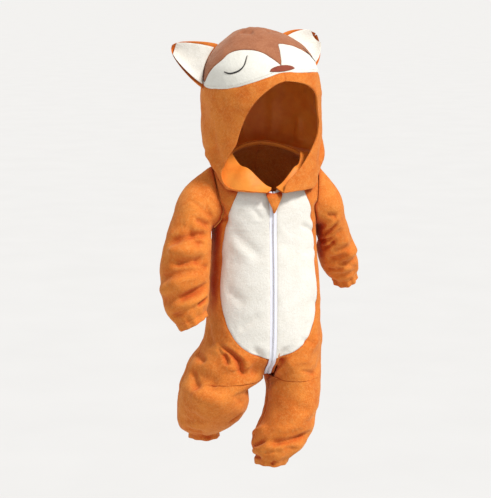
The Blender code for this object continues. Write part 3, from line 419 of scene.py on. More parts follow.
def sleeve_section(side, row, phi):
    c = dict(zip(SLEEVE, np.moveaxis(curve(range(8), SLEEVE_RIGHT if side < 0 else SLEEVE_LEFT, row), -1, 0)))
    out, fore = np.radians(c["swing_out"]), np.radians(c["swing_fore"])
    axis = np.stack([side * np.sin(out), -np.cos(out) * np.sin(fore), -np.cos(out) * np.cos(fore)], -1)
    ahead = np.stack([np.zeros_like(out), -np.cos(fore), np.sin(fore)], -1)
    across = np.cross(axis, ahead) * side
    across = across * np.sign(across[..., :1] * side + 1e-9)
    s, k = np.sin(np.radians(phi))[..., None], np.cos(np.radians(phi))[..., None]
    centre = np.stack([c["x"], c["y"], c["z"]], -1)
    return centre + across * k * c["half_out"][..., None] + ahead * s * c["half_fore"][..., None]


def sleeve_form(side, row, phi):
    """Row -1 is the armhole seam, rows 0 to 7 are the sections."""
    row, phi = np.broadcast_arrays(np.asarray(row, float), np.asarray(phi, float))
    hole = body(side, *armhole(side, phi), WALL)
    stack = np.stack([hole] + [sleeve_section(side, np.full(row.shape, float(k)), phi) for k in range(8)], 0)
    i = np.clip(np.floor(row).astype(int) + 1, 0, 7)
    s = np.clip(row - (i - 1), 0, 1)[..., None]
    pick = lambda j: np.take_along_axis(stack, np.clip(j, 0, 8)[None, ..., None], 0)[0]
    a, b, c, d = pick(i - 1), pick(i), pick(i + 1), pick(i + 2)
    a = np.where((i == 0)[..., None], 2 * b - c, a)
    d = np.where((i == 7)[..., None], 2 * c - b, d)
    return .5 * (2 * b + (c - a) * s + (2 * a - 5 * b + 4 * c - d) * s ** 2 + (3 * b - a - 3 * c + d) * s ** 3)


def sleeve(side, row, phi, out=0.0):
    waves = gathers(row, phi, 4.8, 6.4, CUFF_GATHERS)
    return folded(sleeve_form, side, row, phi, (-.5, 6.95), SLEEVE_FOLDS, out, side, waves, smooth((row + 1) / .8))


def spaced(stops, counts):
    """Stations along a panel: this many steps between each pair of stops."""
    out = [np.linspace(a, b, n + 1)[:-1] for a, b, n in zip(stops, stops[1:], counts)]
    return np.concatenate(out + [[stops[-1]]])


HOOD_ANGLES = np.array([0, 11.5, 23, 34.5, 46, 57.5, 69, 80.5, 92, 104, 120, 135, 150, 165, 180])
HOOD_SHARE = np.array([.002, .08, .16, .22, .25, .275, .30, .345, .43, .52, .61, .70, .78, .84, .885, .91, .925, .933,
                       1])
ZIP_ROWS = spaced((.3, 9, 10.2, 11.72), (15, 3, 6))


def panel_rows(side):
    middle, half = ARMHOLE[side][:2]
    hole = middle - half * np.cos(np.radians(np.linspace(0, 180, ARM_COLUMNS // 2 + 1)))
    below = spaced((middle + half, 8, 9, BELLY_END, 10.6, 12, 15, 17, 19), (4, 2, 4, 1, 5, 4, 4, 5))
    return np.concatenate([[0, .6, 1.2], hole, below[1:]])


def belly_half_at(row):
    return np.where(row < BELLY_END + .001, curve(BELLY_ROW, BELLY_HALF, row), ZIP_HALF)


def zip_line(row, across=0.0, out=0.0):
    """A point of the closure's centre line, halfway between the two fronts' edges, moved across and off the cloth."""
    row = np.asarray(row, float)

    def middle(at):
        two = [body(side, at, angle_at(body_table(side), at, ZIP_HALF)) for side in (-1, 1)]
        return (two[0] + two[1]) / 2 * [0, 1, 1]

    down = middle(row + .05) - middle(row - .05)
    down /= np.linalg.norm(down, axis=-1, keepdims=True)
    off = np.stack([0 * row, down[..., 2], -down[..., 1]], -1)
    point = middle(row) + off * np.asarray(out)[..., None]
    point[..., 0] = across
    return point


def outer_edge(side, rows, gap):
    """Angle of a panel's outer edge: the side seam, or the armhole where the row crosses it."""
    middle, half, half_angle = ARMHOLE[side]
    cut = np.clip(1 - ((rows - middle) / half) ** 2, 0, 1)
    return 90 - gap / .0018 - half_angle * np.sqrt(cut)


def inner_edge(side, rows, half, back=False):
    """Angle of a panel's inner edge: this far from the centre line, and the inseam below the crotch.

    Toward the crotch the panel draws back by its own thickness, because the two sides face each other there.
    """
    clear = half + (WALL + .0004) * smooth((rows - 9.6) / 1.1)
    edge = angle_at(body_table(side), rows, clear, back)
    seam = 269.8 if back else -89.8
    return np.where(rows > CROTCH_ROW - .01, seam, np.minimum(edge, seam) if back else np.maximum(edge, seam))


def ear_sheet(side, across, along, inset, forward):
    """A rounded triangle from its base on the hood out to its tip; forward moves it toward the face side."""
    (angle_a, low), (angle_b, high) = EAR_BASE[side]
    reach = np.array(EAR_REACH[side]) * (side, 1, 1)

    def place(u, v):
        s = inset + (1 - 2 * inset) * u / across
        t = v / along * (1 - 1.1 * inset)
        angle, height = angle_a + (angle_b - angle_a) * s, low + (high - low) * s
        base = hood(side, hood_row(height), angle, EAR_SEAT[side])
        middle = hood(side, hood_row(np.full(u.shape, (low + high) / 2 + .010)),
                      np.full(u.shape, (angle_a + angle_b) / 2), EAR_SEAT[side])
        tip = middle + reach
        width = .05 + (.72 * (1 - t ** 1.4) + .23 * np.sqrt(1 - t ** 8) if side < 0 else .95 * (1 - t ** 2.4) ** .6)
        point = middle + (tip - middle) * t[:, None] + (base - middle) * width[:, None]
        cup = EAR_CUP * np.sin(np.pi * np.clip(u / across, 0, 1)) * np.sin(np.pi * np.clip(t * .75 + .02, 0, 1))
        lateral = base[:1] - base[-1:]
        face = np.cross(lateral, reach)
        face = face / np.linalg.norm(face)
        face = face * np.sign(-face[0, 1] + 1e-9)
        return point - face * cup[:, None] + face * forward

    return place


# ---- shells -------------------------------------------------------------------------------------------------

SEAM_WIDTH = .0030      # how far from a sewn edge the cloth begins to draw in


def lumps(p, size, seed):
    """A soft unevenness from -1 to 1 over the points, the same on every run."""
    rng = np.random.default_rng(seed)
    total = np.zeros(p.shape[:-1])
    for wave in range(14):
        d = rng.normal(size=3)
        d /= np.linalg.norm(d)
        total += np.sin(p @ d * 2 * np.pi / (size * rng.uniform(.6, 1.8)) + rng.uniform(0, 6.3))
    return total / 5


def arc(p, axis):
    """Distance along a grid from its first line and from its last."""
    gap = np.linalg.norm(np.diff(p, axis=axis), axis=-1)
    first = np.insert(np.cumsum(gap, axis=axis), 0, 0, axis=axis)
    return first, np.flip(np.insert(np.cumsum(np.flip(gap, axis), axis=axis), 0, 0, axis=axis), axis)


def fine(stations, step_count):
    """The same stations with this many steps between each pair."""
    n = len(stations) - 1
    return np.interp(np.linspace(0, n, n * step_count + 1), np.arange(n + 1), stations)


def piece(name, mesh, look):
    mesh.materials.append(look)
    made = bpy.data.objects.new(name, mesh)
    bpy.context.scene.collection.objects.link(made)
    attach(made, "root")
    return made


def shell(name, inner, outer, look, slot, node=None, closed=False, seams=(0, 0, 0, 0), soft=.0005, seed=1,
          sheet=True, round_rim=.5, detail=0):
    """A thin closed cloth piece between two grids of points.

    seams: how deep its first and last column, and its first and last row, are drawn in, as a sewn edge is.
    soft: height of its unevenness. round_rim: how far its rim stands out, as a share of its thickness.
    """
    off = outer - inner
    thick = np.linalg.norm(off, axis=-1, keepdims=True)
    normal = off / (thick + 1e-12)
    if soft:
        bump = (soft * lumps(outer, .030, seed) + soft * .5 * lumps(outer, .013, seed + 9))[..., None]
        inner, outer = inner + normal * bump, outer + normal * bump
    raised = normal * (detail + np.zeros(outer.shape[:-1]))[..., None]
    inner, outer = inner + raised, outer + raised
    draw = np.zeros(outer.shape[:-1])
    across, along = arc(outer, 1), arc(outer, 0)
    for depth, gap in zip(seams, (across[0], across[1], along[0], along[1])):
        draw = np.maximum(draw, depth * np.exp(-(gap / SEAM_WIDTH) ** 2))
    outer = outer - normal * draw[..., None]
    rows, cols = outer.shape[:2]
    points = [outer.reshape(-1, 3), inner.reshape(-1, 3)]
    o = np.arange(rows * cols).reshape(rows, cols)
    if closed:
        o = np.concatenate([o[:, :-1], o[:, :1]], 1)
    i = o + rows * cols
    quads = []

    def strip(a, b, flip=False):
        q = np.stack([a[:-1], a[1:], b[1:], b[:-1]], -1).reshape(-1, 4)
        quads.append(q[:, ::-1] if flip else q)

    def face(g, flip):
        q = np.stack([g[:-1, :-1], g[:-1, 1:], g[1:, 1:], g[1:, :-1]], -1).reshape(-1, 4)
        quads.append(q[:, ::-1] if flip else q)

    mid = (rows // 2, cols // 2)
    across = outer[mid[0], mid[1] + 1] - outer[mid]
    along = outer[mid[0] + 1, mid[1]] - outer[mid]
    flip = np.dot(np.cross(across, along), normal[mid]) < 0
    face(o, flip)
    face(i, not flip)
    total = 2 * rows * cols
    edges = [(o[0], i[0], outer[0] - outer[1], inner[0], outer[0], False),
             (o[-1], i[-1], outer[-1] - outer[-2], inner[-1], outer[-1], True)]
    if not closed:
        edges += [(o[:, 0], i[:, 0], outer[:, 0] - outer[:, 1], inner[:, 0], outer[:, 0], True),
                  (o[:, -1], i[:, -1], outer[:, -1] - outer[:, -2], inner[:, -1], outer[:, -1], False)]
    for a, b, away, low, high, turned in edges:
        away = away / (np.linalg.norm(away, axis=-1, keepdims=True) + 1e-12)
        wide = np.linalg.norm(high - low, axis=-1, keepdims=True)
        rim = (low + high) / 2 + away * wide * round_rim
        r = np.arange(len(rim)) + total
        if closed and len(r) > 2:
            r[-1] = r[0]
        points.append(rim)
        total += len(rim)
        strip(a, r, flip == turned)
        strip(r, b, flip == turned)
    points, quads = np.concatenate(points), np.concatenate(quads)
    mesh = bpy.data.meshes.new(name)
    mesh.vertices.add(len(points))
    mesh.vertices.foreach_set("co", points.astype(np.float32).ravel())
    mesh.loops.add(quads.size)
    mesh.loops.foreach_set("vertex_index", quads.astype(np.int32).ravel())
    mesh.polygons.add(len(quads))
    mesh.polygons.foreach_set("loop_start", np.arange(0, quads.size, 4, dtype=np.int32))
    mesh.update(calc_edges=True)
    mesh.validate()
    mesh.shade_smooth()
    made = piece(name, mesh, look)
    if node:
        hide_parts(node)
    if sheet:
        middle = (inner + outer) / 2
        a, b = arc(middle, 1)[0][:, -1], arc(middle, 0)[0][-1]
    return made


def joined(name, points, faces, look, smooth_it=True):
    """A piece from plain points and faces."""
    mesh = bpy.data.meshes.new(name)
    mesh.from_pydata([tuple(p) for p in points], [], [tuple(f) for f in faces])
    mesh.update()
    if smooth_it:
        mesh.shade_smooth()
    return piece(name, mesh, look)


def tube(line, normal, width, height, sides=8):
    """A thin thread or drawn line along points on the cloth; width may change along it."""
    line = np.asarray(line)
    ahead = np.gradient(line, axis=0)
    ahead /= np.linalg.norm(ahead, axis=1, keepdims=True) + 1e-12
    beside = np.cross(ahead, normal)
    beside /= np.linalg.norm(beside, axis=1, keepdims=True) + 1e-12
    up = np.cross(beside, ahead)
    turn = np.arange(sides) * 2 * np.pi / sides
    wide = np.broadcast_to(np.asarray(width, float), len(line))[:, None, None]
    tall = np.broadcast_to(np.asarray(height, float), len(line))[:, None, None]
    ring = (line[:, None] + beside[:, None] * np.cos(turn)[None, :, None] * wide / 2
            + up[:, None] * np.sin(turn)[None, :, None] * tall / 2)
    n = len(line)
    k = np.arange(n * sides).reshape(n, sides)
    nxt = np.roll(k, -1, 1)
    faces = np.stack([k[:-1], nxt[:-1], nxt[1:], k[1:]], -1).reshape(-1, 4)
    return ring.reshape(-1, 3), faces, [tuple(k[0][::-1]), tuple(k[-1])]


def threads(name, runs, look):
    """Several tubes joined in one piece."""
    points, faces, total = [], [], 0
    for ring, quads, caps in runs:
        points.append(ring)
        faces += [tuple(int(x) + total for x in f) for f in quads] + [tuple(int(x) + total for x in c) for c in caps]
        total += len(ring)
    joined(name, np.concatenate(points), faces, look)


def stitches(line, normal, pitch, length, width, height):
    """A run of separate stitches along a line."""
    line = np.asarray(line)
    run = np.insert(np.cumsum(np.linalg.norm(np.diff(line, axis=0), axis=1)), 0, 0)
    out = []
    for start in np.arange(pitch * .3, run[-1] - length, pitch):
        at = start + np.linspace(0, 1, 4) * length
        p = np.stack([np.interp(at, run, line[:, k]) for k in range(3)], -1)
        n = np.stack([np.interp(at, run, normal[:, k]) for k in range(3)], -1)
        p = p + n * (height * .3 * np.array([-1, .6, .6, -1]))[:, None]
        out.append(tube(p, n, width * np.array([.6, 1, 1, .6]), height, sides=5))
    return out

# ---- materials ----------------------------------------------------------------------------------------------

def nodes_of(name, roughness):
    made = bpy.data.materials.new(name)
    made.use_nodes = True
    tree = made.node_tree
    shader = tree.nodes["Principled BSDF"]
    shader.inputs["Roughness"].default_value = roughness
    return made, tree, shader, tree.nodes.new("ShaderNodeTexCoord").outputs["Object"]


def pattern(tree, place, kind, **sockets):
    """A texture node over the object's own space."""
    n = tree.nodes.new(kind)
    for name, value in sockets.items():
        n.inputs[name].default_value = value
    tree.links.new(place, n.inputs["Vector"])
    return n


def noise(tree, place, size, detail=2.0, rough=.55, distortion=0.0):
    return pattern(tree, place, "ShaderNodeTexNoise", Scale=1 / size, Detail=detail, Roughness=rough,
                   Distortion=distortion).outputs["Fac"]


def bands(tree, place, scale, distortion=0.0, direction="X"):
    """Even bands, as of knitting, weave or plied thread."""
    n = pattern(tree, place, "ShaderNodeTexWave", Scale=scale, Distortion=distortion)
    n.bands_direction = direction
    return n.outputs["Fac"]


def ramp(tree, value, stops):
    r = tree.nodes.new("ShaderNodeValToRGB")
    for slot, (at, colour) in zip(r.color_ramp.elements, stops):
        slot.position, slot.color = at, (*colour, 1)
    tree.links.new(value, r.inputs["Fac"])
    return r.outputs["Color"]


def mixed(tree, kind, factor, a, b):
    m = tree.nodes.new("ShaderNodeMix")
    m.data_type = "RGBA"
    m.blend_type = kind
    for socket, given in ((m.inputs[0], factor), (m.inputs[6], a), (m.inputs[7], b)):
        if isinstance(given, bpy.types.NodeSocket):
            tree.links.new(given, socket)
        else:
            socket.default_value = given if isinstance(given, float) else (*given, 1)
    return m.outputs[2]


def spread(tree, value, low, high, most, a, b):
    """Goes from colour a toward b, by this much at most, as the value climbs from low to high."""
    return mixed(tree, "MIX", ramp(tree, value, ((low, (0, 0, 0)), (high, (most,) * 3))), a, b)


def finish(tree, shader, colour, layers, weight, rough=.5, tint=(1, 1, 1), specular=.5):
    """Colour, sheen, and bump nodes one on another: (height, strength, distance)."""
    tree.links.new(colour, shader.inputs["Base Color"])
    for name, value in (("Sheen Weight", weight), ("Sheen Roughness", rough), ("Sheen Tint", (*tint, 1)),
                        ("Specular IOR Level", specular)):
        shader.inputs[name].default_value = value
    last = None
    for height, strength, distance in layers:
        b = tree.nodes.new("ShaderNodeBump")
        b.inputs["Strength"].default_value = strength
        b.inputs["Distance"].default_value = distance
        tree.links.new(height, b.inputs["Height"])
        if last:
            tree.links.new(last, b.inputs["Normal"])
        last = b.outputs["Normal"]
    tree.links.new(last, shader.inputs["Normal"])


def fleece(name, base, deep, pale, root, sheen, weight, grain=1.0):
    """Brushed fleece: patches where the nap lies another way, small tufts, the grain of the fibres, and painted shade
    in creases toward the root colour.
    """
    made, tree, shader, place = nodes_of(name, .92)
    patch = noise(tree, place, .034, 3, .6, .4)
    tuft = noise(tree, place, .0052, 3, .6, .6)
    fibre = noise(tree, place, .0016, 2, .7)
    colour = spread(tree, patch, .36, .66, .62, base, deep)
    colour = spread(tree, tuft, .46, .72, .42, colour, pale)
    colour = mixed(tree, "MULTIPLY", .75 * grain, colour, ramp(tree, fibre, ((.30, (.72, .66, .62)), (.56, (1, 1, 1)))))
    painted_crease_shade = tree.nodes.new("ShaderNodeAmbientOcclusion")     # painted shade: ambient occlusion darkens the colour in creases and hollows
    painted_crease_shade.samples = 6
    painted_crease_shade.inputs["Distance"].default_value = .022
    painted_shade_mask = ramp(tree, painted_crease_shade.outputs["AO"], ((.52, (1, 1, 1)), (.96, (0, 0, 0))))
    # painted shade: the colour goes toward root, the given shade colour, where occlusion is strong
    colour = mixed(tree, "MIX", painted_shade_mask, colour, root)
    finish(tree, shader, colour, ((tuft, .55, .0016), (fibre, .60 * grain, .0008)), weight, .38, sheen, .12)
    return made


def knit(name, base, deep, sheen, weight):
    """Smooth lining: fine ribs of knitting and faint mottling."""
    made, tree, shader, place = nodes_of(name, .52)
    rib = bands(tree, place, 520, 1.5)
    fibre = noise(tree, place, .0022, 2, .7)
    colour = spread(tree, noise(tree, place, .022, 2), .35, .7, .55, base, deep)
    colour = mixed(tree, "MULTIPLY", .35, colour, ramp(tree, fibre, ((.3, (.8, .76, .72)), (.6, (1, 1, 1)))))
    finish(tree, shader, colour, ((rib, .18, .0003), (fibre, .25, .0004)), weight, .3, sheen, .3)
    return made


def woven(name, base, deep):
    """Zip tape: a fine herringbone weave."""
    made, tree, shader, place = nodes_of(name, .62)
    weave = bands(tree, place, 420, .6, "DIAGONAL")
    colour = spread(tree, weave, .3, .7, .5, base, deep)
    tint = ramp(tree, noise(tree, place, .004, 2), ((.3, (.86, .86, .9)), (.7, (1, 1, 1))))
    finish(tree, shader, mixed(tree, "MULTIPLY", .2, colour, tint), ((weave, .3, .0003),), .15)
    return made


def thread(name, base, rough=.7):
    made, tree, shader, place = nodes_of(name, rough)
    ply = bands(tree, place, 900)
    colour = spread(tree, ply, .3, .7, 1, tuple(c * .72 for c in base), base)
    finish(tree, shader, colour, ((ply, .3, .0002),), .2)
    return made


def plated(name, base, rough):
    made, tree, shader, place = nodes_of(name, rough)
    worn = noise(tree, place, .0035, 3)
    tree.links.new(ramp(tree, worn, ((.35, tuple(c * .8 for c in base)), (.65, base))), shader.inputs["Base Color"])
    shader.inputs["Metallic"].default_value = 1.0
    tree.links.new(ramp(tree, worn, ((.3, (rough * .8,) * 3), (.7, (rough * 1.3,) * 3))), shader.inputs["Roughness"])
    return made


RUST = (.72, .225, .038), (.58, .118, .014), (.80, .35, .10)        # the orange nap's middle, deep and pale tones
# each fleece's fourth colour is its painted crease shade, the tone its occlusion darkens toward
ORANGE = fleece("orange fleece", *RUST, (.42, .035, .006), (1.0, .66, .34), .28)
# the same orange fleece with a lighter painted crease shade, so the ear's cupped tip darkens less
EAR = fleece("orange ear fleece", *RUST, (.60, .14, .02), (1.0, .66, .34), .28)
CREAM = fleece("cream fleece", (.80, .78, .72), (.73, .70, .63), (.84, .83, .80), (.56, .50, .42),
               (1, 1, .98), .15, .55)
PATCH = fleece("cream face", (.79, .78, .715), (.73, .715, .64), (.83, .82, .78), (.58, .52, .44), (1, 1, .98), .10, .3)
BROWN = fleece("brown fleece", (.40, .160, .080), (.31, .108, .052), (.48, .22, .125), (.20, .05, .025),
               (.95, .75, .62), .30, .7)
NOSE = fleece("nose fleece", (.27, .068, .042), (.20, .045, .028), (.34, .10, .06), (.12, .03, .02),
              (.8, .6, .5), .15, .5)
LINING = knit("smooth lining", (.87, .285, .035), (.74, .165, .016), (1, .72, .4), .45)
TAPE = woven("zip tape", (.86, .86, .93), (.74, .74, .84))
TEETH = thread("zip teeth", (.88, .88, .94), .4)
METAL = plated("zip metal", (.62, .62, .64), .32)
BLACK = thread("black embroidery", (.012, .011, .011), .6)
CREAM_THREAD = thread("cream thread", (.88, .86, .79))


# ---- the garment --------------------------------------------------------------------------------------------

TOP = THICK + .0002      # the outer face lies this far off the form
SIDES = (-1, "right"), (1, "left")       # the wearer's
# Lengths of one station of a panel, along it or round it.
BODY_STATION, ZIP_STATION, HOOD_STATION, SHARE_STATION = .017, .018, .0145, .0125


def near(length):
    """How many steps a length takes so that its points lie about STEP apart."""
    return max(1, int(round(length / STEP)))


def cloth(node, place, look, slot, low=.0001, high=TOP, **more):
    """A node's finished panel, between two heights off its form."""
    shell(node + "_cloth", place(low), place(high), look, slot, node, **more)


def panel(rows, first, last, width):
    """Rows and angles of a panel's points, from the angles of its first edge to those of its last."""
    u = np.linspace(0, 1, near(width) + 1)[None]
    return np.repeat(rows[:, None], u.shape[1], 1), first[:, None] + (last - first)[:, None] * u


def make_body():
    for side, hand in SIDES:
        table = body_table(side)
        rows = fine(panel_rows(side), near(BODY_STATION))
        ends = rows.copy()
        ends[0] += .006
        belly = angle_at(table, rows, belly_half_at(rows) + .0001)
        inner = np.where(rows < BELLY_END + .001, belly, inner_edge(side, rows, ZIP_HALF))
        outer = outer_edge(side, rows, .0001)
        r, angle = panel(ends, inner, outer, .125)
        cloth(f"front_{hand}", lambda out: body(side, r, angle, out), ORANGE, "orange_fleece",
              seams=(.0012, .0009, .0010, .0004), seed=3 + side)
        r, angle = panel(ends, 180 - outer, inner_edge(side, rows, BACK_SEAM_HALF, True), .135)
        cloth(f"back_{hand}", lambda out: body(side, r, angle, out), ORANGE, "orange_fleece",
              seams=(.0009, .0012, .0010, .0004), seed=6 + side)
        rows = rows[rows < BELLY_END + .001]
        ends = ends[:len(rows)].copy()
        ends[-1] -= .010
        r, angle = panel(ends, angle_at(table, rows, ZIP_HALF), angle_at(table, rows, belly_half_at(rows) - .0001),
                         .080)
        cloth(f"belly_{hand}", lambda out: body(side, r, angle, out), CREAM, "cream_fleece",
              seams=(.0007, .0012, .0008, 0), seed=10 + side, soft=.0004)
        ring = fine(np.concatenate([[-1, -.6], spaced((-.2, 2, 5, 7), (4, 5, 6))]), near(BODY_STATION))
        r, phi = panel(ring, 0 * ring, 0 * ring + 360, .285)
        r[0] += .010 + .028 * np.maximum(np.cos(np.radians(phi[0])), 0)      # clear of the armhole's own edge
        r = np.maximum.accumulate(r, 0)
        casing = -.0008 * np.exp(-((r - 6.05) / .07) ** 2)
        cloth(f"sleeve_{hand}", lambda out: sleeve(side, r, phi, out), ORANGE, "orange_fleece", -TOP, -.0001,
              closed=True, seams=(0, 0, .0012, .0003), seed=14 + side, detail=casing)


def make_zip():
    rows = fine(ZIP_ROWS, near(ZIP_STATION))
    u = np.linspace(0, 1, 7)[None]

    def strip(rows, across, out):
        return np.stack([zip_line(rows, across[0, k] + 0 * rows, out) for k in range(7)], 1)

    for side, hand in SIDES:
        across = side * (ZIP_CHAIN_HALF - .0006 + (ZIP_HALF - ZIP_CHAIN_HALF + .0002) * u)
        shell(f"zip_tape_{hand}_weave", strip(rows, across, .0003), strip(rows, across, .0013), TAPE, "zip_tape",
              f"zip_tape_{hand}", soft=0, sheet=False, detail=-.0004 * np.exp(-((u - .62) / .12) ** 2))
        low = rows[rows > 9.6]
        across = side * (ZIP_HALF - .0008 + .0070 * u)
        shell(f"crotch_facing_{hand}", strip(low, across, -.0014), strip(low, across, -.0004), ORANGE,
              "orange_fleece", soft=0, sheet=False)
    line = zip_line(rows, 0, 0)
    run = np.insert(np.cumsum(np.linalg.norm(np.diff(line, axis=0), axis=1)), 0, 0)
    lifted = zip_line(rows, 0, .001) - line
    up = lifted / np.linalg.norm(lifted, axis=1, keepdims=True)
    box = np.array([(-1, -1, 0), (1, -1, 0), (1, 1, 0), (-1, 1, 0), (-.8, -.7, 1), (.8, -.7, 1), (.8, .7, 1),
                    (-.8, .7, 1)])
    quads = [(0, 3, 2, 1), (4, 5, 6, 7), (0, 1, 5, 4), (1, 2, 6, 5), (2, 3, 7, 6), (3, 0, 4, 7)]
    pitch, half_size, hook = .00145, (.00165, .00048, .00135), .00062
    points, faces = [], []
    for n, at in enumerate(np.arange(.004, run[-1] - .002, pitch)):
        p, o, q = (np.array([np.interp(at + ahead, run, of[:, k]) for k in range(3)])
                   for of, ahead in ((line, 0), (up, 0), (line, .001)))
        q = q - p
        q /= np.linalg.norm(q) + 1e-12
        cross = np.cross(q, o)
        size = box * half_size
        middle = p + o * .0010 + cross * (-hook, hook)[n % 2]
        points.append(middle + size[:, :1] * cross + size[:, 1:2] * q + size[:, 2:] * o)
        faces += [tuple(8 * n + k for k in f) for f in quads]
    teeth = joined("zip_teeth", np.concatenate(points), faces, TEETH, smooth_it=False)
    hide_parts("zip_chain")


def hood_side(side, share, part, out, margin=.0):
    """part runs 0 to 1 from the face opening's edge to the centre back."""
    start = curve(*OPEN[side], share) + margin
    angle = start + (180 - start) * part
    top = hood_row(curve(SEAM_ANGLE, FACE_LOWER[side], angle) - .0001)
    return hood(side, top * share, angle, out)


def make_hood():
    part = fine(HOOD_ANGLES / 180, near(HOOD_STATION))
    for side, hand in SIDES:
        share, at = np.meshgrid(fine(HOOD_SHARE, near(SHARE_STATION)), part, indexing="ij")
        cloth(f"hood_{hand}", lambda out: hood_side(side, share, at, out), ORANGE, "orange_fleece",
              seams=(.0002, .0010, .0008, .0012), seed=20 + side, round_rim=.7)
        share, at = np.meshgrid(fine(HOOD_SHARE[:-1], near(SHARE_STATION)), part, indexing="ij")
        deep = .0004 + .0026 * smooth(at * 180 / 50) * smooth((share - .40) / .2)
        ruck = np.maximum(lining_folds(side, share, at), .0002 - deep)       # never out through the fleece
        cloth(f"lining_{hand}", lambda out: hood_side(side, share, at, out, .02), LINING, "hood_lining", -deep,
              -deep - .0009, soft=.0003, seed=24 + side, detail=ruck, round_rim=.3)


# As above, with the share of the way up the hood's side in place of the row.
LINING_FOLDS = {
    -1: (
        (56, .24, 66, .36, 5, -3), (60, .4, 72, .44, 5, -3), (30, .12, 44, .22, 7, -2.5), (64, .3, 84, .3, 7, 3),
        (60, .55, 80, .6, 7, -2.5), (90, .35, 120, .3, 10, -3), (100, .55, 140, .6, 12, -3),
    ),
    1: (
        (12, .36, 40, .3, 6, -3.5), (20, .43, 48, .4, 5, -3), (46, .52, 62, .5, 4, -2.8), (50, .68, 64, .7, 4, -2.8),
        (46, .78, 60, .82, 4, -2.8), (30, .35, 60, .34, 8, 3), (70, .45, 100, .4, 10, -3), (90, .65, 130, .7, 12, -3),
        (14, .25, 30, .22, 6, -2.5),
    ),
}


def lining_folds(side, share, part):
    """Soft creases of the lining inside the opening, as a height toward the wearer."""
    angle_length, share_length = .0019, .21
    start = curve(*OPEN[side], share)
    x, y = (start + (180 - start) * part) * angle_length, share * share_length
    out = np.zeros(share.shape)
    for angle_a, share_a, angle_b, share_b, width, depth in LINING_FOLDS[side]:
        a = np.array([angle_a * angle_length, share_a * share_length])
        ab = np.array([angle_b * angle_length, share_b * share_length]) - a
        t = np.clip(((x - a[0]) * ab[0] + (y - a[1]) * ab[1]) / (ab @ ab), 0, 1)
        gap = np.hypot(x - a[0] - t * ab[0], y - a[1] - t * ab[1])
        out += depth * MM * np.exp(-(gap / (width * MM)) ** 2)
    return out * smooth((x - start * angle_length) / .004)


def make_neck():
    """A narrow tape inside the neck seam, where the hood meets the body."""
    for side, hand in SIDES:
        angle, t = np.meshgrid(np.linspace(9, 180, near(.30) + 1), np.linspace(0, 1, 5))
        row = .16 - .16 * np.sin(np.pi * t)
        top, low = hood(side, row, angle, -.0006), body(side, row, angle, -.0006)
        line = low + (top - low) * t[..., None]
        back = line * (1, 1, 0) + (0, .02, 0)
        back = back / np.linalg.norm(back, axis=-1, keepdims=True) * .0010
        shell(f"neck_tape_{hand}", line - back, line, LINING, "hood_lining", soft=0, sheet=False)


def both(angle, row, out):
    """A point of the hood, on the wearer's right where the angle is negative."""
    return np.where((angle < 0)[..., None], hood(-1, row, -angle, out), hood(1, row, angle, out))


def round_front(half, height):
    """Angles across the hood, from the wearer's right over the front to the left, and shares of a height."""
    half = fine(half, near(HOOD_STATION))
    return np.meshgrid(np.concatenate([-half[:0:-1], half]), np.linspace(0, 1, near(height) + 1))


def on_hood(side, row, angle, low, high):
    """A line on the hood this far off it, and the directions away from the cloth there."""
    line = hood(side, row, angle, low)
    off = hood(side, row, angle, high) - line
    return line, off / np.linalg.norm(off, axis=1, keepdims=True)


EYE_LINE = ((61, .1880), (54, .1846), (46, .1872), (39, .1953), (34, .2130))     # angle and height on the hood
EYE_FURTHER_ROUND = {-1: 0, 1: 14}      # degrees; the left one is out of the photo's sight
NOSE_HALF = 13.5                        # degrees


def make_face():
    angle, t = round_front(HOOD_ANGLES[:10], .070)
    low, high = seam_height(FACE_LOWER, angle) + .0001, seam_height(FACE_UPPER, angle) - .0001
    row = hood_row(low + (high - low) * t)
    cloth("face_patch", lambda out: both(angle, row, out), PATCH, "cream_fleece", high=TOP - .0003,
          seams=(0, 0, .0006, .0006), soft=.0003, seed=31)
    angle, t = round_front(HOOD_ANGLES, .115)
    low = hood_row(seam_height(FACE_UPPER, angle) + .0001)
    row = low + (HOOD_TOP_ROW - .001 - low) * t ** .85
    cloth("hood_crown", lambda out: both(angle, row, out), BROWN, "brown_fleece", closed=True,
          seams=(0, 0, .0010, 0), soft=.0006, seed=33, round_rim=0)
    angle, t = np.meshgrid(np.linspace(-NOSE_HALF, NOSE_HALF, near(.05) + 1), np.linspace(0, 1, near(.02) + 1))
    low = .1800 + .0022 * (angle / NOSE_HALF) ** 2
    high = low + .0008 + .0095 * np.maximum(1 - (angle / NOSE_HALF) ** 2, 0) ** .7
    row = hood_row(low + (high - low) * t)
    cloth("nose", lambda out: both(angle, row, out), NOSE, "nose_fleece", TOP - .0002, TOP + .0009, soft=0,
          seams=(.0004,) * 4)
    eyes, topstitch = [], []
    for side, _ in SIDES:
        t = np.linspace(0, 1, 40)
        way = curve((0, .25, .5, .75, 1), EYE_LINE, t) + (EYE_FURTHER_ROUND[side], 0)
        wide = .0030 * (np.sin(np.pi * np.clip(t * .92 + .06, 0, 1)) ** .55) + .0004
        eyes.append(tube(*on_hood(side, hood_row(way[:, 1]), way[:, 0], TOP + .0002, TOP + .0012), wide, .0009))
        angle = np.linspace(2, 88, 160)
        row = hood_row(curve(SEAM_ANGLE, FACE_LOWER[side], angle) + .0045)
        topstitch += stitches(*on_hood(side, row, angle, TOP - .0002, TOP + .0008), .0034, .0024, .0006, .0005)
    threads("eye_embroidery", eyes, BLACK)
    threads("face_topstitch", topstitch, CREAM_THREAD)


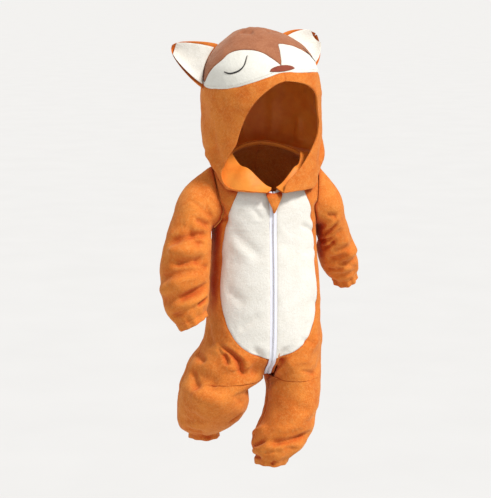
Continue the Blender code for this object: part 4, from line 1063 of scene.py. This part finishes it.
def make_ears():
    for side, hand in SIDES:
        for name, inset, forward, look, slot, thick in (
                ("back", 0.0, 0.0, EAR, "orange_fleece", -.0018),
                ("front", .09, .0026 if side < 0 else .0044, CREAM, "cream_fleece", .0017)):
            across, along = near(.075), near(.060)
            w = np.linspace(0, 1, along + 1)
            u, v = np.meshgrid(np.arange(across + 1), along * (1 - (1 - w) ** 1.8))      # finer toward the tip
            cloth(f"ear_{hand}_{name}", lambda out: ear_sheet(side, across, along, inset, out)(
                u.ravel(), v.ravel()).reshape(*u.shape, 3), look, slot, forward, forward + thick,
                seed=40 + side, soft=.0004, seams=(.0005, .0005, 0, .0005), round_rim=.8)


def make_guard():
    width = (.0150, .0150, .0138, .0118, .0092, .0064, .0034, .0010)
    lifts = (.0032, .0066, .0098, .0100, .0100, .0100, .0085, .0046)
    stops = np.arange(8)
    t = np.linspace(0, 7, 29)
    u = np.linspace(-1, 1, 15)[None]
    x = u * curve(stops, width, t)[:, None]
    r = np.repeat(np.interp(t, stops, np.linspace(.45, 3.25, 8))[:, None], 15, 1)
    y = body(1, r, angle_at(body_table(1), r, np.abs(x)))
    lift = curve(stops, lifts, t)[:, None] + .0007 * (1 - u ** 2)
    base = np.stack([x + .0010, y[..., 1] - lift, y[..., 2]], -1)
    shell("zip_guard_cloth", base, base + (0, -.0019, 0), ORANGE, "orange_fleece", "zip_guard", soft=.0002,
          seams=(.0004,) * 4, detail=-.0005 * np.exp(-((np.abs(u) - .72) / .10) ** 2))


make_body()
make_zip()
make_hood()
make_neck()
make_face()
make_ears()
make_guard()
for node in ("zip_slider", "zip_pull"):
    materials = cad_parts[node].data.materials
    materials.clear()
    materials.append(METAL)


# ---- camera, light and floor --------------------------------------------------------------------------------

def put(name, data, azimuth, elevation, distance=0.0, target=(0, 0, -.15)):
    """Links an object that looks at the target, from a distance round to the side (azimuth) and up (elevation)."""
    made = bpy.data.objects.new(name, data)
    bpy.context.scene.collection.objects.link(made)
    a, e = math.radians(azimuth), math.radians(elevation)
    back = np.array([math.sin(a) * math.cos(e), -math.cos(a) * math.cos(e), math.sin(e)])
    made.location = back * distance + target
    made.rotation_euler = (math.pi / 2 - e, 0, a)
    return made


def light(name, kind, power, azimuth, elevation, distance=0.0, colour=(1, 1, 1)):
    data = bpy.data.lights.new(name, kind)
    data.energy, data.color = power, colour
    put(name, data, azimuth, elevation, distance)
    return data


def camera():
    data = bpy.data.cameras.new("camera")
    data.lens, data.sensor_width, data.clip_end = 114.1, 36, 900
    data.sensor_fit = "HORIZONTAL"
    bpy.context.scene.camera = put("camera", data, -11.5, 10, 3.0, (-.0407, -.021, -.1628))


def floor():
    """Plain paper, far enough below that no shadow on it shows, as in the photo."""
    mesh = bpy.data.meshes.new("floor")
    r, z = 400.0, -3.2
    mesh.from_pydata([(-r, -r, z), (r, -r, z), (r, r, z), (-r, r, z)], [], [(0, 1, 2, 3)])
    made = bpy.data.objects.new("floor", mesh)
    bpy.context.scene.collection.objects.link(made)
    look, tree, shader, place = nodes_of("floor paper", .9)
    colour = ramp(tree, noise(tree, place, .8, 2), ((.3, (.695, .695, .695)), (.7, (.71, .71, .71))))
    tree.links.new(colour, shader.inputs["Base Color"])
    shader.inputs["Specular IOR Level"].default_value = 0
    mesh.materials.append(look)


camera()
floor()
world = bpy.data.worlds.new("studio")
bpy.context.scene.world = world
world.use_nodes = True
sky = world.node_tree.nodes["Background"].inputs
sky["Color"].default_value = (1, 1, 1, 1)
sky["Strength"].default_value = .40
bpy.context.scene.view_settings.view_transform = "Standard"
light("key", "SUN", 3.6, 42, 50, colour=(1, .98, .95)).angle = math.radians(12)
light("fill", "AREA", 7, -48, 22, 2.8).size = 1.6
light("rim", "AREA", 10, 215, 40, 2.4).size = 1.0
